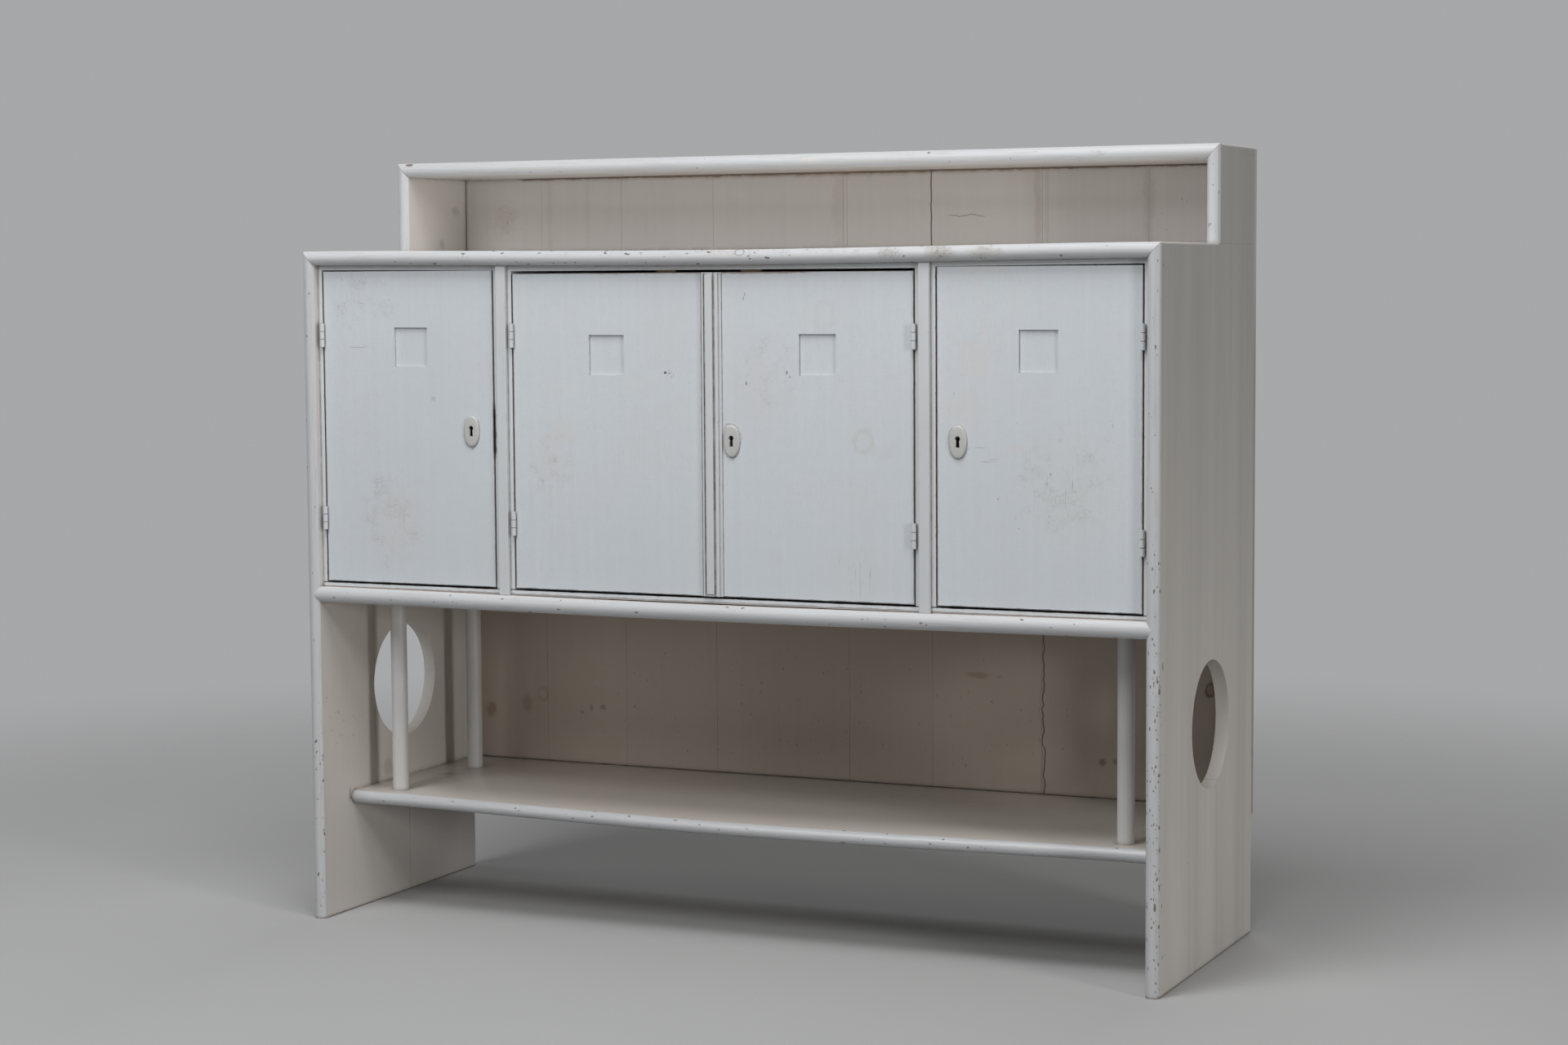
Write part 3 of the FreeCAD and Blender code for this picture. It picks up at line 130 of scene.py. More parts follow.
class Graph:
    """One material under construction. Each method adds a node and hands back its output socket."""

    def __init__(self, name):
        self.material = bpy.data.materials.new(name)
        self.material.use_nodes = True
        self.tree = self.material.node_tree
        self.tree.nodes.clear()
        self.place = self.node("ShaderNodeTexCoord").outputs["Object"]
        self.x, self.y, self.z = self.node("ShaderNodeSeparateXYZ", {0: self.place}).outputs
        self.ways = {"X": self.x, "Y": self.y, "Z": self.z}

    def node(self, kind, inputs=None, **settings):
        made = self.tree.nodes.new(kind)
        for key, value in settings.items():
            setattr(made, key, value)
        for key, value in (inputs or {}).items():
            if isinstance(value, bpy.types.NodeSocket):
                self.tree.links.new(value, made.inputs[key])
            else:
                made.inputs[key].default_value = value
        return made

    def math(self, operation, first, second=0.0, clamp=False):
        return self.node("ShaderNodeMath", {0: first, 1: second}, operation=operation, use_clamp=clamp).outputs[0]

    def plus(self, first, second):
        return self.math("ADD", first, second)

    def less(self, first, second):
        return self.math("SUBTRACT", first, second)

    def times(self, first, *others):
        for other in others:
            first = self.math("MULTIPLY", first, other)
        return first

    def most(self, first, second):
        return self.math("MAXIMUM", first, second)

    def swing(self, value, amount):
        """A noise value turned into a swing of the amount to both sides of zero."""
        return self.times(self.less(value, 0.5), 2.0 * amount)

    def ramp(self, value, low, high, start=0.0, end=1.0):
        """A smooth step from start, where the value is low, to end, where it is high."""
        ends = {"Value": value, "From Min": low, "From Max": high, "To Min": start, "To Max": end}
        return self.node("ShaderNodeMapRange", ends, interpolation_type="SMOOTHSTEP").outputs[0]

    def near(self, value, middle, reach):
        """1 where the value is at the middle, 0 further off than its reach."""
        return self.ramp(self.math("ABSOLUTE", self.less(value, middle)), 0.0, reach, 1.0, 0.0)

    def between(self, value, low, high, soft):
        rise = self.ramp(value, low - soft, low + soft)
        return self.times(rise, self.ramp(value, high - soft, high + soft, 1.0, 0.0))

    def vector(self, operation, first, second):
        return self.node("ShaderNodeVectorMath", {0: first, 1: second}, operation=operation).outputs[0]

    def radii_off(self, middle, radii):
        """0 in the middle of an ellipsoid, 1 on its surface and more outside."""
        scaled = self.vector("MULTIPLY", self.vector("SUBTRACT", self.place, middle), [1.0 / r for r in radii])
        return self.node("ShaderNodeVectorMath", {0: scaled}, operation="LENGTH").outputs["Value"]

    def stretched(self, grain, along, across):
        """The place scaled by one factor along the grain and by another across it."""
        return self.vector("MULTIPLY", self.place, [along if way == grain else across for way in "XYZ"])

    def shifted(self, *amount):
        return self.vector("ADD", self.place, amount)

    def noise(self, scale, place=None, detail=2.0, roughness=0.5):
        inputs = {"Vector": place or self.place, "Scale": scale, "Detail": detail, "Roughness": roughness}
        return self.node("ShaderNodeTexNoise", inputs).outputs[0]

    def cells(self, scale, place=None, feature="F1"):
        return self.node("ShaderNodeTexVoronoi", {"Vector": place or self.place, "Scale": scale}, feature=feature)

    def blend(self, share, low, high, way="MIX"):
        made = self.node("ShaderNodeMix", {0: share, 6: low, 7: high}, data_type="RGBA", blend_type=way)
        return made.outputs[2]

    def scaled_tone(self, shade, factor):
        """The shade made lighter or darker by a factor socket."""
        grey = self.node("ShaderNodeCombineColor", {0: factor, 1: factor, 2: factor}).outputs[0]
        return self.blend(1.0, shade, grey, "MULTIPLY")

    def surface(self, shade, roughness, height, strength, distance, metallic=0.0):
        """The shader and output of a finish whose relief is the height."""
        bumped = self.node("ShaderNodeBump", {"Height": height, "Strength": strength, "Distance": distance})
        shader = self.node("ShaderNodeBsdfPrincipled", {"Base Color": shade, "Roughness": roughness,
                                                        "Metallic": metallic, "Normal": bumped.outputs[0]})
        self.tree.links.new(shader.outputs[0], self.node("ShaderNodeOutputMaterial").inputs[0])
        return self.material


class Paint(Graph):
    """Old brushed oil paint on softwood boards, with the marks that age has left on it."""

    def __init__(self, name, grain):
        super().__init__(name)
        self.grain = grain
        self.broad = self.noise(2.3, detail=3.0)
        self.ragged = self.noise(46.0, detail=6.0, roughness=0.66)
        self.streak = self.noise(1.0, self.stretched(grain, 2.6, 90.0), detail=4.0, roughness=0.6)
        self.brush = self.noise(1.0, self.stretched(grain, 9.0, 430.0))
        self.crumbs = self.noise(760.0, detail=3.0, roughness=0.65)
        warp = self.node("ShaderNodeTexNoise", {"Vector": self.place, "Scale": 150.0, "Detail": 3.0}).outputs[1]
        self.bent = self.vector("ADD", self.place, self.vector("MULTIPLY", warp, (0.005, 0.005, 0.005)))
        self.network = self.most(self.hairlines(105.0, 0.030), self.hairlines(290.0, 0.045))

    def hairlines(self, scale, width):
        edge = self.cells(scale, self.bent, "DISTANCE_TO_EDGE").outputs["Distance"]
        return self.ramp(edge, 0.0, width, 1.0, 0.0)

    def chips(self, density, scale, reach):
        """Small chips, longer along the grain; density is the share of the cells that have one."""
        long = [0.42 if way == self.grain else 1.0 for way in "XYZ"]
        cell = self.cells(scale, self.vector("MULTIPLY", self.bent, long))
        draw = self.node("ShaderNodeSeparateColor", {0: cell.outputs["Color"]})
        radius = self.plus(self.times(draw.outputs[1], draw.outputs[2], reach), self.swing(self.crumbs, 0.16))
        inside = self.ramp(self.less(radius, cell.outputs["Distance"]), 0.0, 0.035)
        return self.times(inside, self.math("LESS_THAN", draw.outputs[0], density))

    def area(self, middle, radii):
        """A ragged area round the middle."""
        return self.ramp(self.plus(self.radii_off(middle, radii), self.swing(self.ragged, 0.75)), 0.35, 1.0, 1.0, 0.0)

    # The kinds of mark. Each hands back where it is, from 0 to 1, and how deep it lies.

    def patch(self, middle, radii):
        return self.area(middle, radii), 0.0

    def ring(self, middle, radii, width):
        edge = self.plus(self.radii_off(middle, radii), self.swing(self.ragged, 0.45))
        return self.near(edge, 0.85, width), 0.1

    def craze(self, middle, radii):
        broken = self.ramp(self.noise(34.0, detail=5.0, roughness=0.62), 0.44, 0.62)
        return self.times(self.network, broken, self.ramp(self.area(middle, radii), 0.0, 0.5)), 0.4

    def specks(self, middle, radii, density, scale=420.0):
        where = self.ramp(self.radii_off(middle, radii), 0.5, 1.0, density, 0.0)
        return self.chips(where, scale, 0.62), 0.8

    def scratches(self, middle, radii, way="X"):
        fine = self.noise(1.0, self.stretched(way, 26.0, 620.0), detail=1.0)
        return self.times(self.ramp(fine, 0.66, 0.72), self.area(middle, radii)), 0.5

    def line(self, along, low, high, across, at, width, wander=0.0):
        """A line along one way at a place across it, that wanders to both sides."""
        drift = self.noise(1.0, self.vector("MULTIPLY", self.place, [28.0 if way == along else 0.5 for way in "XYZ"]),
                           detail=5.0, roughness=0.62)
        off = self.near(self.plus(self.ways[across], self.swing(drift, wander)), at, width)
        return self.times(off, self.between(self.ways[along], low, high, 0.008)), 1.0

    def joint(self, along, low, high, across, at, width=GLUE_LINE):
        """The joint of two glued boards under the paint, open here and there."""
        here, depth = self.line(along, low, high, across, at, width, 0.0006)
        return self.times(here, self.ramp(self.noise(9.0, detail=4.0), 0.20, 0.50)), depth

    def mitre(self, low, high):
        """The joint line of a mitred corner, from its inner corner at low to the outer one at high."""
        slope = (OUTSIDE_X - INSIDE_X) / (high - low)
        off = self.less(self.math("ABSOLUTE", self.x), self.plus(self.times(self.less(self.z, low), slope), INSIDE_X))
        return self.times(self.near(off, 0.0, GLUE_LINE), self.between(self.z, low, high, 0.0005)), 0.8

    def rim(self, across, at, width, along, low, high):
        """A band beside an edge, out to a ragged line: worn paint, dirt and rust, and in the doors' gaps painted
        shade.
        """
        off = self.math("ABSOLUTE", self.less(self.ways[across], at))
        edge = self.plus(off, self.swing(self.ragged, width * 1.1))
        return self.times(self.ramp(edge, width * 0.55, width, 1.0, 0.0),
                          self.between(self.ways[along], low, high, 0.012)), 0.7


def paint(name, base, grain="Z", gloss=0.42, noses=(), wear=0.25, weave=0.0, mottle=0.10, shade_and_grime=0.6,
          reach=0.010, shade_and_grime_tint=GRIME, spots=(), marks=(), tones=None, wood=None):
    """A painted finish. Its special places are given so:

    noses: (crest, low, high), rounded front edges by their crest along Y and their reach along Z
    spots: (middle, radii, strength), where more chips lie
    marks: (kind, strength, colour) and then what the method of that kind takes
    """
    g = Paint(name, grain)
    shade = tones(g, base) if tones else base
    at_front = 0.0
    for crest, low, high in noses:
        here = g.ramp(g.y, crest + NOSE_ENDS, crest + BOARD_STARTS, 1.0, 0.0)
        at_front = g.most(at_front, g.times(here, g.between(g.z, low, high, 0.001)))
    if noses:
        # Dirt has settled in the brush marks along the noses
        soiled = g.ramp(g.noise(1.0, g.stretched(grain, 15.0, 300.0), detail=4.0, roughness=0.62), 0.46, 0.76)
        soiled = g.times(soiled, g.ramp(g.ragged, 0.35, 0.60, 0.35, 1.0))
        shade = g.blend(at_front, shade, g.blend(g.times(soiled, 0.34), NOSE_WHITE, SOILED))
    # Lighter and darker, in streaks along the grain and in broad and small patches
    tone = g.plus(g.swing(g.streak, mottle * 0.55), g.plus(g.swing(g.broad, mottle), g.swing(g.ragged, mottle * 0.3)))
    shade = g.scaled_tone(shade, g.plus(1.0, tone))
    # Yellowed and pinkish clouds
    cloud = g.ramp(g.noise(5.5, g.shifted(3.1, 1.7, 0.4), detail=5.0, roughness=0.62), 0.50, 0.80)
    shade = g.blend(g.times(cloud, 0.28), shade, g.blend(0.5, shade, PINK))
    height = g.plus(g.times(g.streak, 0.30), g.plus(g.times(g.brush, 0.20), g.times(g.broad, 0.4)))
    if weave:
        # Hairlines of the paint film, up and down and across
        up = g.ramp(g.noise(1.0, g.stretched("Z", 60.0, 700.0), detail=1.0), 0.54, 0.70)
        over = g.ramp(g.noise(1.0, g.stretched("X", 70.0, 650.0), detail=1.0), 0.56, 0.72)
        lines = g.times(g.most(up, g.times(over, 0.6)), g.ramp(g.broad, 0.30, 0.60, 0.45, 1.0))
        shade = g.scaled_tone(shade, g.less(1.0, g.times(lines, weave)))
        height = g.less(height, g.times(lines, 0.40))
    # Painted shade and grime in the corners: darker where ambient occlusion finds the surface closed in, in ragged
    # patches
    hollow = g.node("ShaderNodeAmbientOcclusion", {"Distance": reach}, samples=6)
    corner = g.ramp(hollow.outputs["AO"], 0.30, 0.95, 1.0, 0.0)
    corner = g.times(corner, g.ramp(g.ragged, 0.30, 0.62, 0.35, 1.0))
    shade = g.blend(g.times(corner, shade_and_grime), shade, shade_and_grime_tint)
    # Chips down to the brown ground, most on the arrises
    rounding = g.node("ShaderNodeBevel", {"Radius": ARRIS_RADIUS}, samples=4).outputs[0]
    normal = g.node("ShaderNodeNewGeometry").outputs["Normal"]
    turned = g.node("ShaderNodeVectorMath", {0: rounding, 1: normal}, operation="DOT_PRODUCT").outputs["Value"]
    arris = g.ramp(turned, 0.80, 0.985, 1.0, 0.0)
    density = g.most(g.times(arris, wear * 0.8), g.times(at_front, wear * 0.10))
    exposed = g.plus(g.most(arris, g.times(at_front, 0.45)), 0.05)
    for middle, radii, strength in spots:
        here = g.ramp(g.radii_off(middle, radii), 0.4, 1.0, strength, 0.0)
        density = g.plus(density, g.times(here, exposed))
    bare = g.most(g.chips(g.times(density, 0.6), 130.0, 0.58), g.chips(g.times(density, 1.6), 330.0, 0.64))
    shade = g.blend(g.times(bare, 0.80), shade, CHIPPED)
    height = g.less(height, g.times(bare, 0.7))
    for kind, strength, tint, *where in marks:
        here, depth = getattr(g, kind)(*where)
        here = g.times(here, strength)
        shade = g.blend(here, shade, tint)
        if depth:
            height = g.less(height, g.times(here, depth))
    if wood:
        share, tint, relief = wood(g)
        shade = g.blend(share, shade, tint)
        height = g.plus(height, g.times(relief, share))
    rough = g.plus(gloss, g.plus(g.swing(g.brush, 0.05), g.swing(g.broad, 0.07)))
    rough = g.plus(rough, g.plus(g.times(bare, 0.30), g.times(corner, 0.20)))
    return g.surface(shade, rough, height, BUMP_STRENGTH, BUMP_HEIGHT)


def year_rings(g, grain):
    """The figure of a flat-sawn softwood board, 0 in the early wood and 1 in the late wood."""
    place = g.stretched(grain, 0.9, 14.0)
    rings = g.node("ShaderNodeTexWave", {"Vector": place, "Scale": 1.7, "Distortion": 7.0, "Detail": 3.0,
                                         "Detail Scale": 1.4}, wave_type="BANDS", bands_direction="DIAGONAL")
    return rings.outputs[1]


def bare_wood(name, light, dark, grain="X", roughness=0.62):
    """Unpainted softwood, darkened by age."""
    g = Graph(name)
    rings = year_rings(g, grain)
    fibre = g.noise(1.0, g.stretched(grain, 12.0, 520.0), detail=3.0)
    share = g.plus(g.times(rings, 0.5), g.plus(g.times(fibre, 0.35), g.swing(g.noise(3.0, detail=3.0), 0.2)))
    height = g.plus(fibre, g.times(rings, 0.3))
    return g.surface(g.blend(share, light, dark), g.plus(roughness, g.swing(fibre, 0.1)), height, 0.35, 0.0004)


def metal(name, base, dull, roughness=0.38, speck=0.35):
    """Worked iron or brass, dulled in patches and specked with rust."""
    g = Graph(name)
    brush = g.noise(1.0, g.stretched("Z", 60.0, 900.0))
    spots = g.ramp(g.noise(420.0, detail=4.0, roughness=0.6), 0.56, 0.70)
    shade = g.blend(g.ramp(g.noise(60.0, detail=4.0), 0.3, 0.7), base, dull)
    shade = g.blend(g.times(spots, speck), shade, RUST)
    rough = g.plus(g.plus(roughness, g.swing(brush, 0.07)), g.times(spots, 0.3))
    return g.surface(shade, rough, g.plus(brush, spots), 0.25, 0.0002, metallic=1.0)


def dress(material, *names):
    """Gives the pieces one finish, in one material slot."""
    for name in names:
        slots = SHOWN[name].data.materials
        slots.clear()
        slots.append(material)


# Geometry: eased edges, and the long boards that have sagged

SAME_PLACE = 0.00001
SAME_PLANE = math.radians(0.4)
EASED_ARRIS = math.radians(35.0)


def ease(width, *names):
    """Rounds the arrises of flat-sided pieces, as sandpaper and paint leave them."""
    for name in names:
        piece = SHOWN[name]
        weld = piece.modifiers.new("weld", "WELD")
        weld.merge_threshold = SAME_PLACE
        planes = piece.modifiers.new("flat", "DECIMATE")
        planes.decimate_type = "DISSOLVE"
        planes.angle_limit = SAME_PLANE
        bevel = piece.modifiers.new("eased", "BEVEL")
        bevel.width = width
        bevel.segments = 3
        bevel.limit_method = "ANGLE"
        bevel.angle_limit = EASED_ARRIS
        bevel.harden_normals = True


# The object that shows for each node
SHOWN = dict(NODES)

# How far the boards hang in the middle of their front edges
TOP_SAG = 0.0049
BOTTOM_SAG = 0.0030
SHELF_SAG = 0.0070

# The lining: the share of its half height that stays put, its share of a board's drop, and the pair's head strip
LINING_FIRM = 0.3
LINING_GIVE = 0.85
PAIR_STRIP_DROP = 0.0042
PAIR_STRIP_HIGH, PAIR_STRIP_LOW = 0.004, 0.010
SAG_STEPS = 28


def bow(x, half_span, power):
    """1 in the middle of a board that hangs between two holds, 0 at each of them."""
    return max(0.0, 1.0 - (x / half_span) ** 2) ** power


def held_behind(y, front):
    """1 at the front edge, 0 where the back boards hold a board's rear edge."""
    return min(1.0, max(0.0, (BACK_Y - y) / (BACK_Y - front)))


def top_drop(place):
    return TOP_SAG * bow(place.x, INSIDE_X, 2.0) * held_behind(place.y, CREST_Y)


def bottom_drop(place):
    return BOTTOM_SAG * bow(place.x, INSIDE_X, 2.0) * held_behind(place.y, CREST_Y)


def shelf_drop(place):
    return SHELF_SAG * bow(place.x, POST_X, 1.5) * held_behind(place.y, SHELF_CREST_Y)


def lining_drop(place):
    """The strips under the top and on the bottom go with them; the upright ones stay put round the locks."""
    middle = (DECK_UNDER_Z + BOTTOM_Z) / 2.0
    off = abs(place.z - middle) / (DECK_UNDER_Z - middle)
    drop = top_drop(place) if place.z > middle else bottom_drop(place)
    return LINING_GIVE * max(0.0, off - LINING_FIRM) / (1.0 - LINING_FIRM) * drop


def pair_lining_drop(place):
    """As the other linings, but the strip over the pair of doors has a straight lower face."""
    if DECK_UNDER_Z - PAIR_STRIP_LOW < place.z < DECK_UNDER_Z - PAIR_STRIP_HIGH:
        return PAIR_STRIP_DROP
    return lining_drop(place)


def smooth_but(shape, sharp):
    """Smooth faces, with the edges that turn by more than the sharp angle kept sharp."""
    for face in shape.faces:
        face.smooth = True
    for edge in shape.edges:
        edge.smooth = len(edge.link_faces) == 2 and edge.calc_face_angle() < sharp


def stand_in(name, new_name, mesh):
    """Shows the mesh in place of the CAD object and on the same body."""
    piece = bpy.data.objects.new(new_name, mesh)
    bpy.context.scene.collection.objects.link(piece)
    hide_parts(name)
    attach(piece, NODES[name]["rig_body"])
    SHOWN[name] = piece


def sagged(name, drop):
    """A piece's copy that hangs lower by the drop at each place, cut fine enough for a smooth curve."""
    mesh = NODES[name].data.copy()
    shape = bmesh.new()
    shape.from_mesh(mesh)
    bmesh.ops.remove_doubles(shape, verts=shape.verts, dist=SAME_PLACE)
    bmesh.ops.dissolve_limit(shape, angle_limit=SAME_PLANE, verts=shape.verts, edges=shape.edges)
    for number in range(1, SAG_STEPS):
        x = INSIDE_X * (2.0 * number / SAG_STEPS - 1.0)
        everything = list(shape.verts) + list(shape.edges) + list(shape.faces)
        bmesh.ops.bisect_plane(shape, geom=everything, plane_co=(x, 0.0, 0.0), plane_no=(1.0, 0.0, 0.0))
    for vert in shape.verts:
        vert.co.z -= drop(vert.co)
    smooth_but(shape, math.radians(30.0))
    shape.to_mesh(mesh)
    shape.free()
    mesh.name = "sagged_" + name
    stand_in(name, "sagged_" + name, mesh)


for sagging, way_down in (("main_top", top_drop), ("door_stop_blocks", top_drop), ("slide_bolt_keeper", top_drop),
                          ("cupboard_bottom", bottom_drop), ("lower_shelf", shelf_drop),
                          ("left_bay_lining", lining_drop), ("middle_bay_lining", pair_lining_drop),
                          ("right_bay_lining", lining_drop)):
    sagged(sagging, way_down)


# A keyhole plate: its outline's fullness (2 is an ellipse), its section as insets and rises, and its keyhole
OVAL_POWER = 2.15
OVAL_POINTS = 96
SHOULDERS = ((0.0, 0.0), (0.0, 0.0014), (0.0006, 0.0024), (0.0016, 0.0031), (0.0028, 0.0034), (0.0046, 0.0036))
HOLE_SECTION = ((0.0, 0.0), (0.0, 0.0032), (0.0004, 0.0037))
EYE_HEIGHT, EYE_RADIUS, EYE_POINTS = 0.0050, 0.0041, 24
SLOT_TOP_HALF, SLOT_FOOT_HALF, SLOT_BOTTOM = 0.0025, 0.0032, -0.0085


def keyhole_plate(name):
    """A keyhole plate with a nearly flat face, round shoulders and an outline fuller than an ellipse."""
    low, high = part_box(name)
    middle = (low + high) / 2.0
    half_width, half_height = (high.x - low.x) / 2.0, (high.z - low.z) / 2.0
    shape = bmesh.new()

    def ring(places, rise):
        return [shape.verts.new((middle.x + x, DOOR_Y - rise, middle.z + z)) for x, z in places]

    def oval(inset):
        places = []
        for number in range(OVAL_POINTS):
            turn = 2.0 * math.pi * number / OVAL_POINTS
            across, up = math.cos(turn), math.sin(turn)
            full = (abs(across) ** OVAL_POWER + abs(up) ** OVAL_POWER) ** (-1.0 / OVAL_POWER)
            places.append((across * full * (half_width - inset), up * full * (half_height - inset)))
        return places

    def keyhole(growth):
        """The outline of the eye and of the slot below it, which widens downward."""
        radius = EYE_RADIUS + growth
        neck, foot, bottom = SLOT_TOP_HALF + growth, SLOT_FOOT_HALF + growth, SLOT_BOTTOM - growth
        start = math.asin(neck / radius)
        shoulder = EYE_HEIGHT - radius * math.cos(start)
        places = [(-foot, bottom), (-neck, shoulder)]
        for number in range(1, EYE_POINTS):
            turn = start + (2.0 * math.pi - 2.0 * start) * number / EYE_POINTS
            places.append((-radius * math.sin(turn), EYE_HEIGHT - radius * math.cos(turn)))
        return places + [(neck, shoulder), (foot, bottom)]

    def bridge(first, second):
        count = len(first)
        for number in range(count):
            after = (number + 1) % count
            shape.faces.new((first[number], first[after], second[after], second[number]))

    def edges(verts):
        pairs = [(verts[number], verts[number - 1]) for number in range(len(verts))]
        return [shape.edges.get(pair) or shape.edges.new(pair) for pair in pairs]

    rings = [ring(oval(inset), rise) for inset, rise in SHOULDERS]
    hole = [ring(keyhole(growth), rise) for growth, rise in HOLE_SECTION]
    for group in (rings, hole):
        for first, second in zip(group, group[1:]):
            bridge(first, second)
    for outer, inner in ((rings[-1], hole[-1]), (rings[0], hole[0])):
        bmesh.ops.triangle_fill(shape, use_beauty=True, edges=edges(outer) + edges(inner))
    bmesh.ops.recalc_face_normals(shape, faces=shape.faces)
    smooth_but(shape, math.radians(38.0))
    mesh = bpy.data.meshes.new("plate_" + name)
    shape.to_mesh(mesh)
    shape.free()
    stand_in(name, "plate_" + name, mesh)


for locked_door in LOCKED_DOORS:
    keyhole_plate(locked_door + "_escutcheon")


# Finishes of the case

SIDE_NOSES = [(CREST_Y, -0.01, DECK_Z), (HUTCH_CREST_Y, DECK_Z, HEAD_Z + 0.01)]


def outer_tones(g, base):
    """Painted shade: the outer faces in a grey-white, as white as the inside near the floor and greyer up high, in
    broad bands up and down.
    """
    outside = g.blend(g.ramp(g.z, 0.2, 1.25), OUTSIDE_LOW, OUTSIDE_HIGH)
    bands = g.noise(1.0, g.stretched("Z", 0.7, 15.0), detail=4.0)
    outside = g.scaled_tone(outside, g.plus(1.0, g.swing(bands, 0.24)))
    return g.blend(g.ramp(g.math("ABSOLUTE", g.x), OUTSIDE_X - 0.0022, OUTSIDE_X - 0.0010), base, outside)


def side_tones(g, base):
    """Warm inside and lightest in the hutch."""
    return outer_tones(g, g.blend(g.ramp(g.z, 1.05, 1.15), base, HUTCH_WHITE))


def deck_tones(g, base):
    """The main top is whitest where the hutch lets light on it."""
    return outer_tones(g, g.blend(g.ramp(g.z, DECK_Z - 0.006, DECK_Z - 0.001), base, HUTCH_WHITE))


DECK_MITRE = ("mitre", 0.60, GRIME, DECK_UNDER_Z, DECK_Z)
HUTCH_MITRE = ("mitre", 0.60, GRIME, HUTCH_UNDER_Z, HEAD_Z)
# How far behind the crest the dovetails' edges lie that show
TAIL_EDGES = (0.052, 0.094, 0.165, 0.255, 0.297)


def dovetail_marks():
    """The dovetails of the top show faintly through the paint of a side, and so does its end joint."""
    marks = []
    for y in TAIL_EDGES:
        marks.append(("line", 0.30, TAN, "Z", DECK_Z - 0.021, DECK_Z - 0.003, "Y", CREST_Y + y, 0.0009, 0.0012))
    marks.append(("line", 0.35, GRIME, "Y", 0.185, BACK_Y, "Z", HEAD_Z - 0.0125, 0.0010, 0.0010))
    return marks


dress(paint("side_left_paint", BAY_WHITE, noses=SIDE_NOSES, tones=side_tones, wear=0.30, mottle=0.06, marks=[
    *dovetail_marks(),
    DECK_MITRE,
    HUTCH_MITRE,
    ("joint", 0.85, GRIME, "Z", SHELF_Z, BOTTOM_Z, "Y", -0.0890),
    ("joint", 0.70, GRIME, "Z", 0.0, SHELF_Z - 0.022, "Y", 0.0205),
    ("patch", 0.30, TAN, (-INSIDE_X, -0.05, 0.235), (0.01, 0.022, 0.02)),
    ("patch", 0.45, GRIME, (-INSIDE_X, -0.1745, 0.204), (0.006, 0.006, 0.018)),
    ("rim", 0.70, BROWN, "Z", 0.0, 0.0030, "Y", CREST_Y, BACK_Y),
    ("ring", 0.70, GRIME, (-INSIDE_X, SHELF_CREST_Y + 0.011, SHELF_Z - 0.011), (0.010, 0.0145, 0.0145), 0.10),
    ("patch", 0.30, TAN, (-INSIDE_X, 0.215, 1.225), (0.01, 0.018, 0.012)),
    ("patch", 0.30, TAN, (-INSIDE_X, 0.165, 1.165), (0.01, 0.010, 0.014)),
    ("specks", 0.60, BROWN, (-INSIDE_X, -0.20, 0.32), (0.01, 0.06, 0.05), 0.16),
    ("scratches", 0.50, BROWN, (-0.752, CREST_Y, 1.075), (0.012, 0.02, 0.065), "Z"),
], spots=[((-0.749, CREST_Y, 0.30), (0.05, 0.05, 0.36), 0.14), ((-0.749, CREST_Y, 1.08), (0.05, 0.05, 0.12), 0.12)]),
    "side_left")
dress(paint("side_right_paint", BAY_WHITE, noses=SIDE_NOSES, tones=side_tones, wear=0.32, mottle=0.05, marks=[
    *dovetail_marks(),
    DECK_MITRE,
    HUTCH_MITRE,
    ("joint", 0.35, GRIME, "Z", 0.0, HEAD_Z, "Y", -0.1005),
    ("joint", 0.35, GRIME, "Z", 0.0, HEAD_Z, "Y", 0.0500),
    ("scratches", 0.50, NOSE_WHITE, (OUTSIDE_X, -0.10, 1.115), (0.01, 0.15, 0.035), "Z"),
    ("scratches", 0.45, NOSE_WHITE, (OUTSIDE_X, -0.225, 1.00), (0.01, 0.014, 0.045), "Z"),
    ("scratches", 0.45, NOSE_WHITE, (OUTSIDE_X, 0.23, 1.05), (0.01, 0.020, 0.16), "Z"),
    ("specks", 0.60, BROWN, (OUTSIDE_X, -0.11, 0.19), (0.01, 0.012, 0.012), 0.6),
    ("specks", 0.50, BROWN, (OUTSIDE_X, 0.16, 0.27), (0.01, 0.010, 0.012), 0.6),
    ("rim", 0.65, BROWN, "Z", 0.0, 0.0032, "Y", CREST_Y, BACK_Y),
], spots=[((OUTSIDE_X, CREST_Y + 0.006, 0.30), (0.011, 0.03, 0.46), 2.2),
          ((INSIDE_X, CREST_Y + 0.006, 0.34), (0.008, 0.03, 0.32), 1.1),
          ((0.749, CREST_Y, 0.22), (0.05, 0.05, 0.36), 0.34),
          ((0.749, CREST_Y, 0.92), (0.05, 0.05, 0.30), 0.15)]), "side_right")
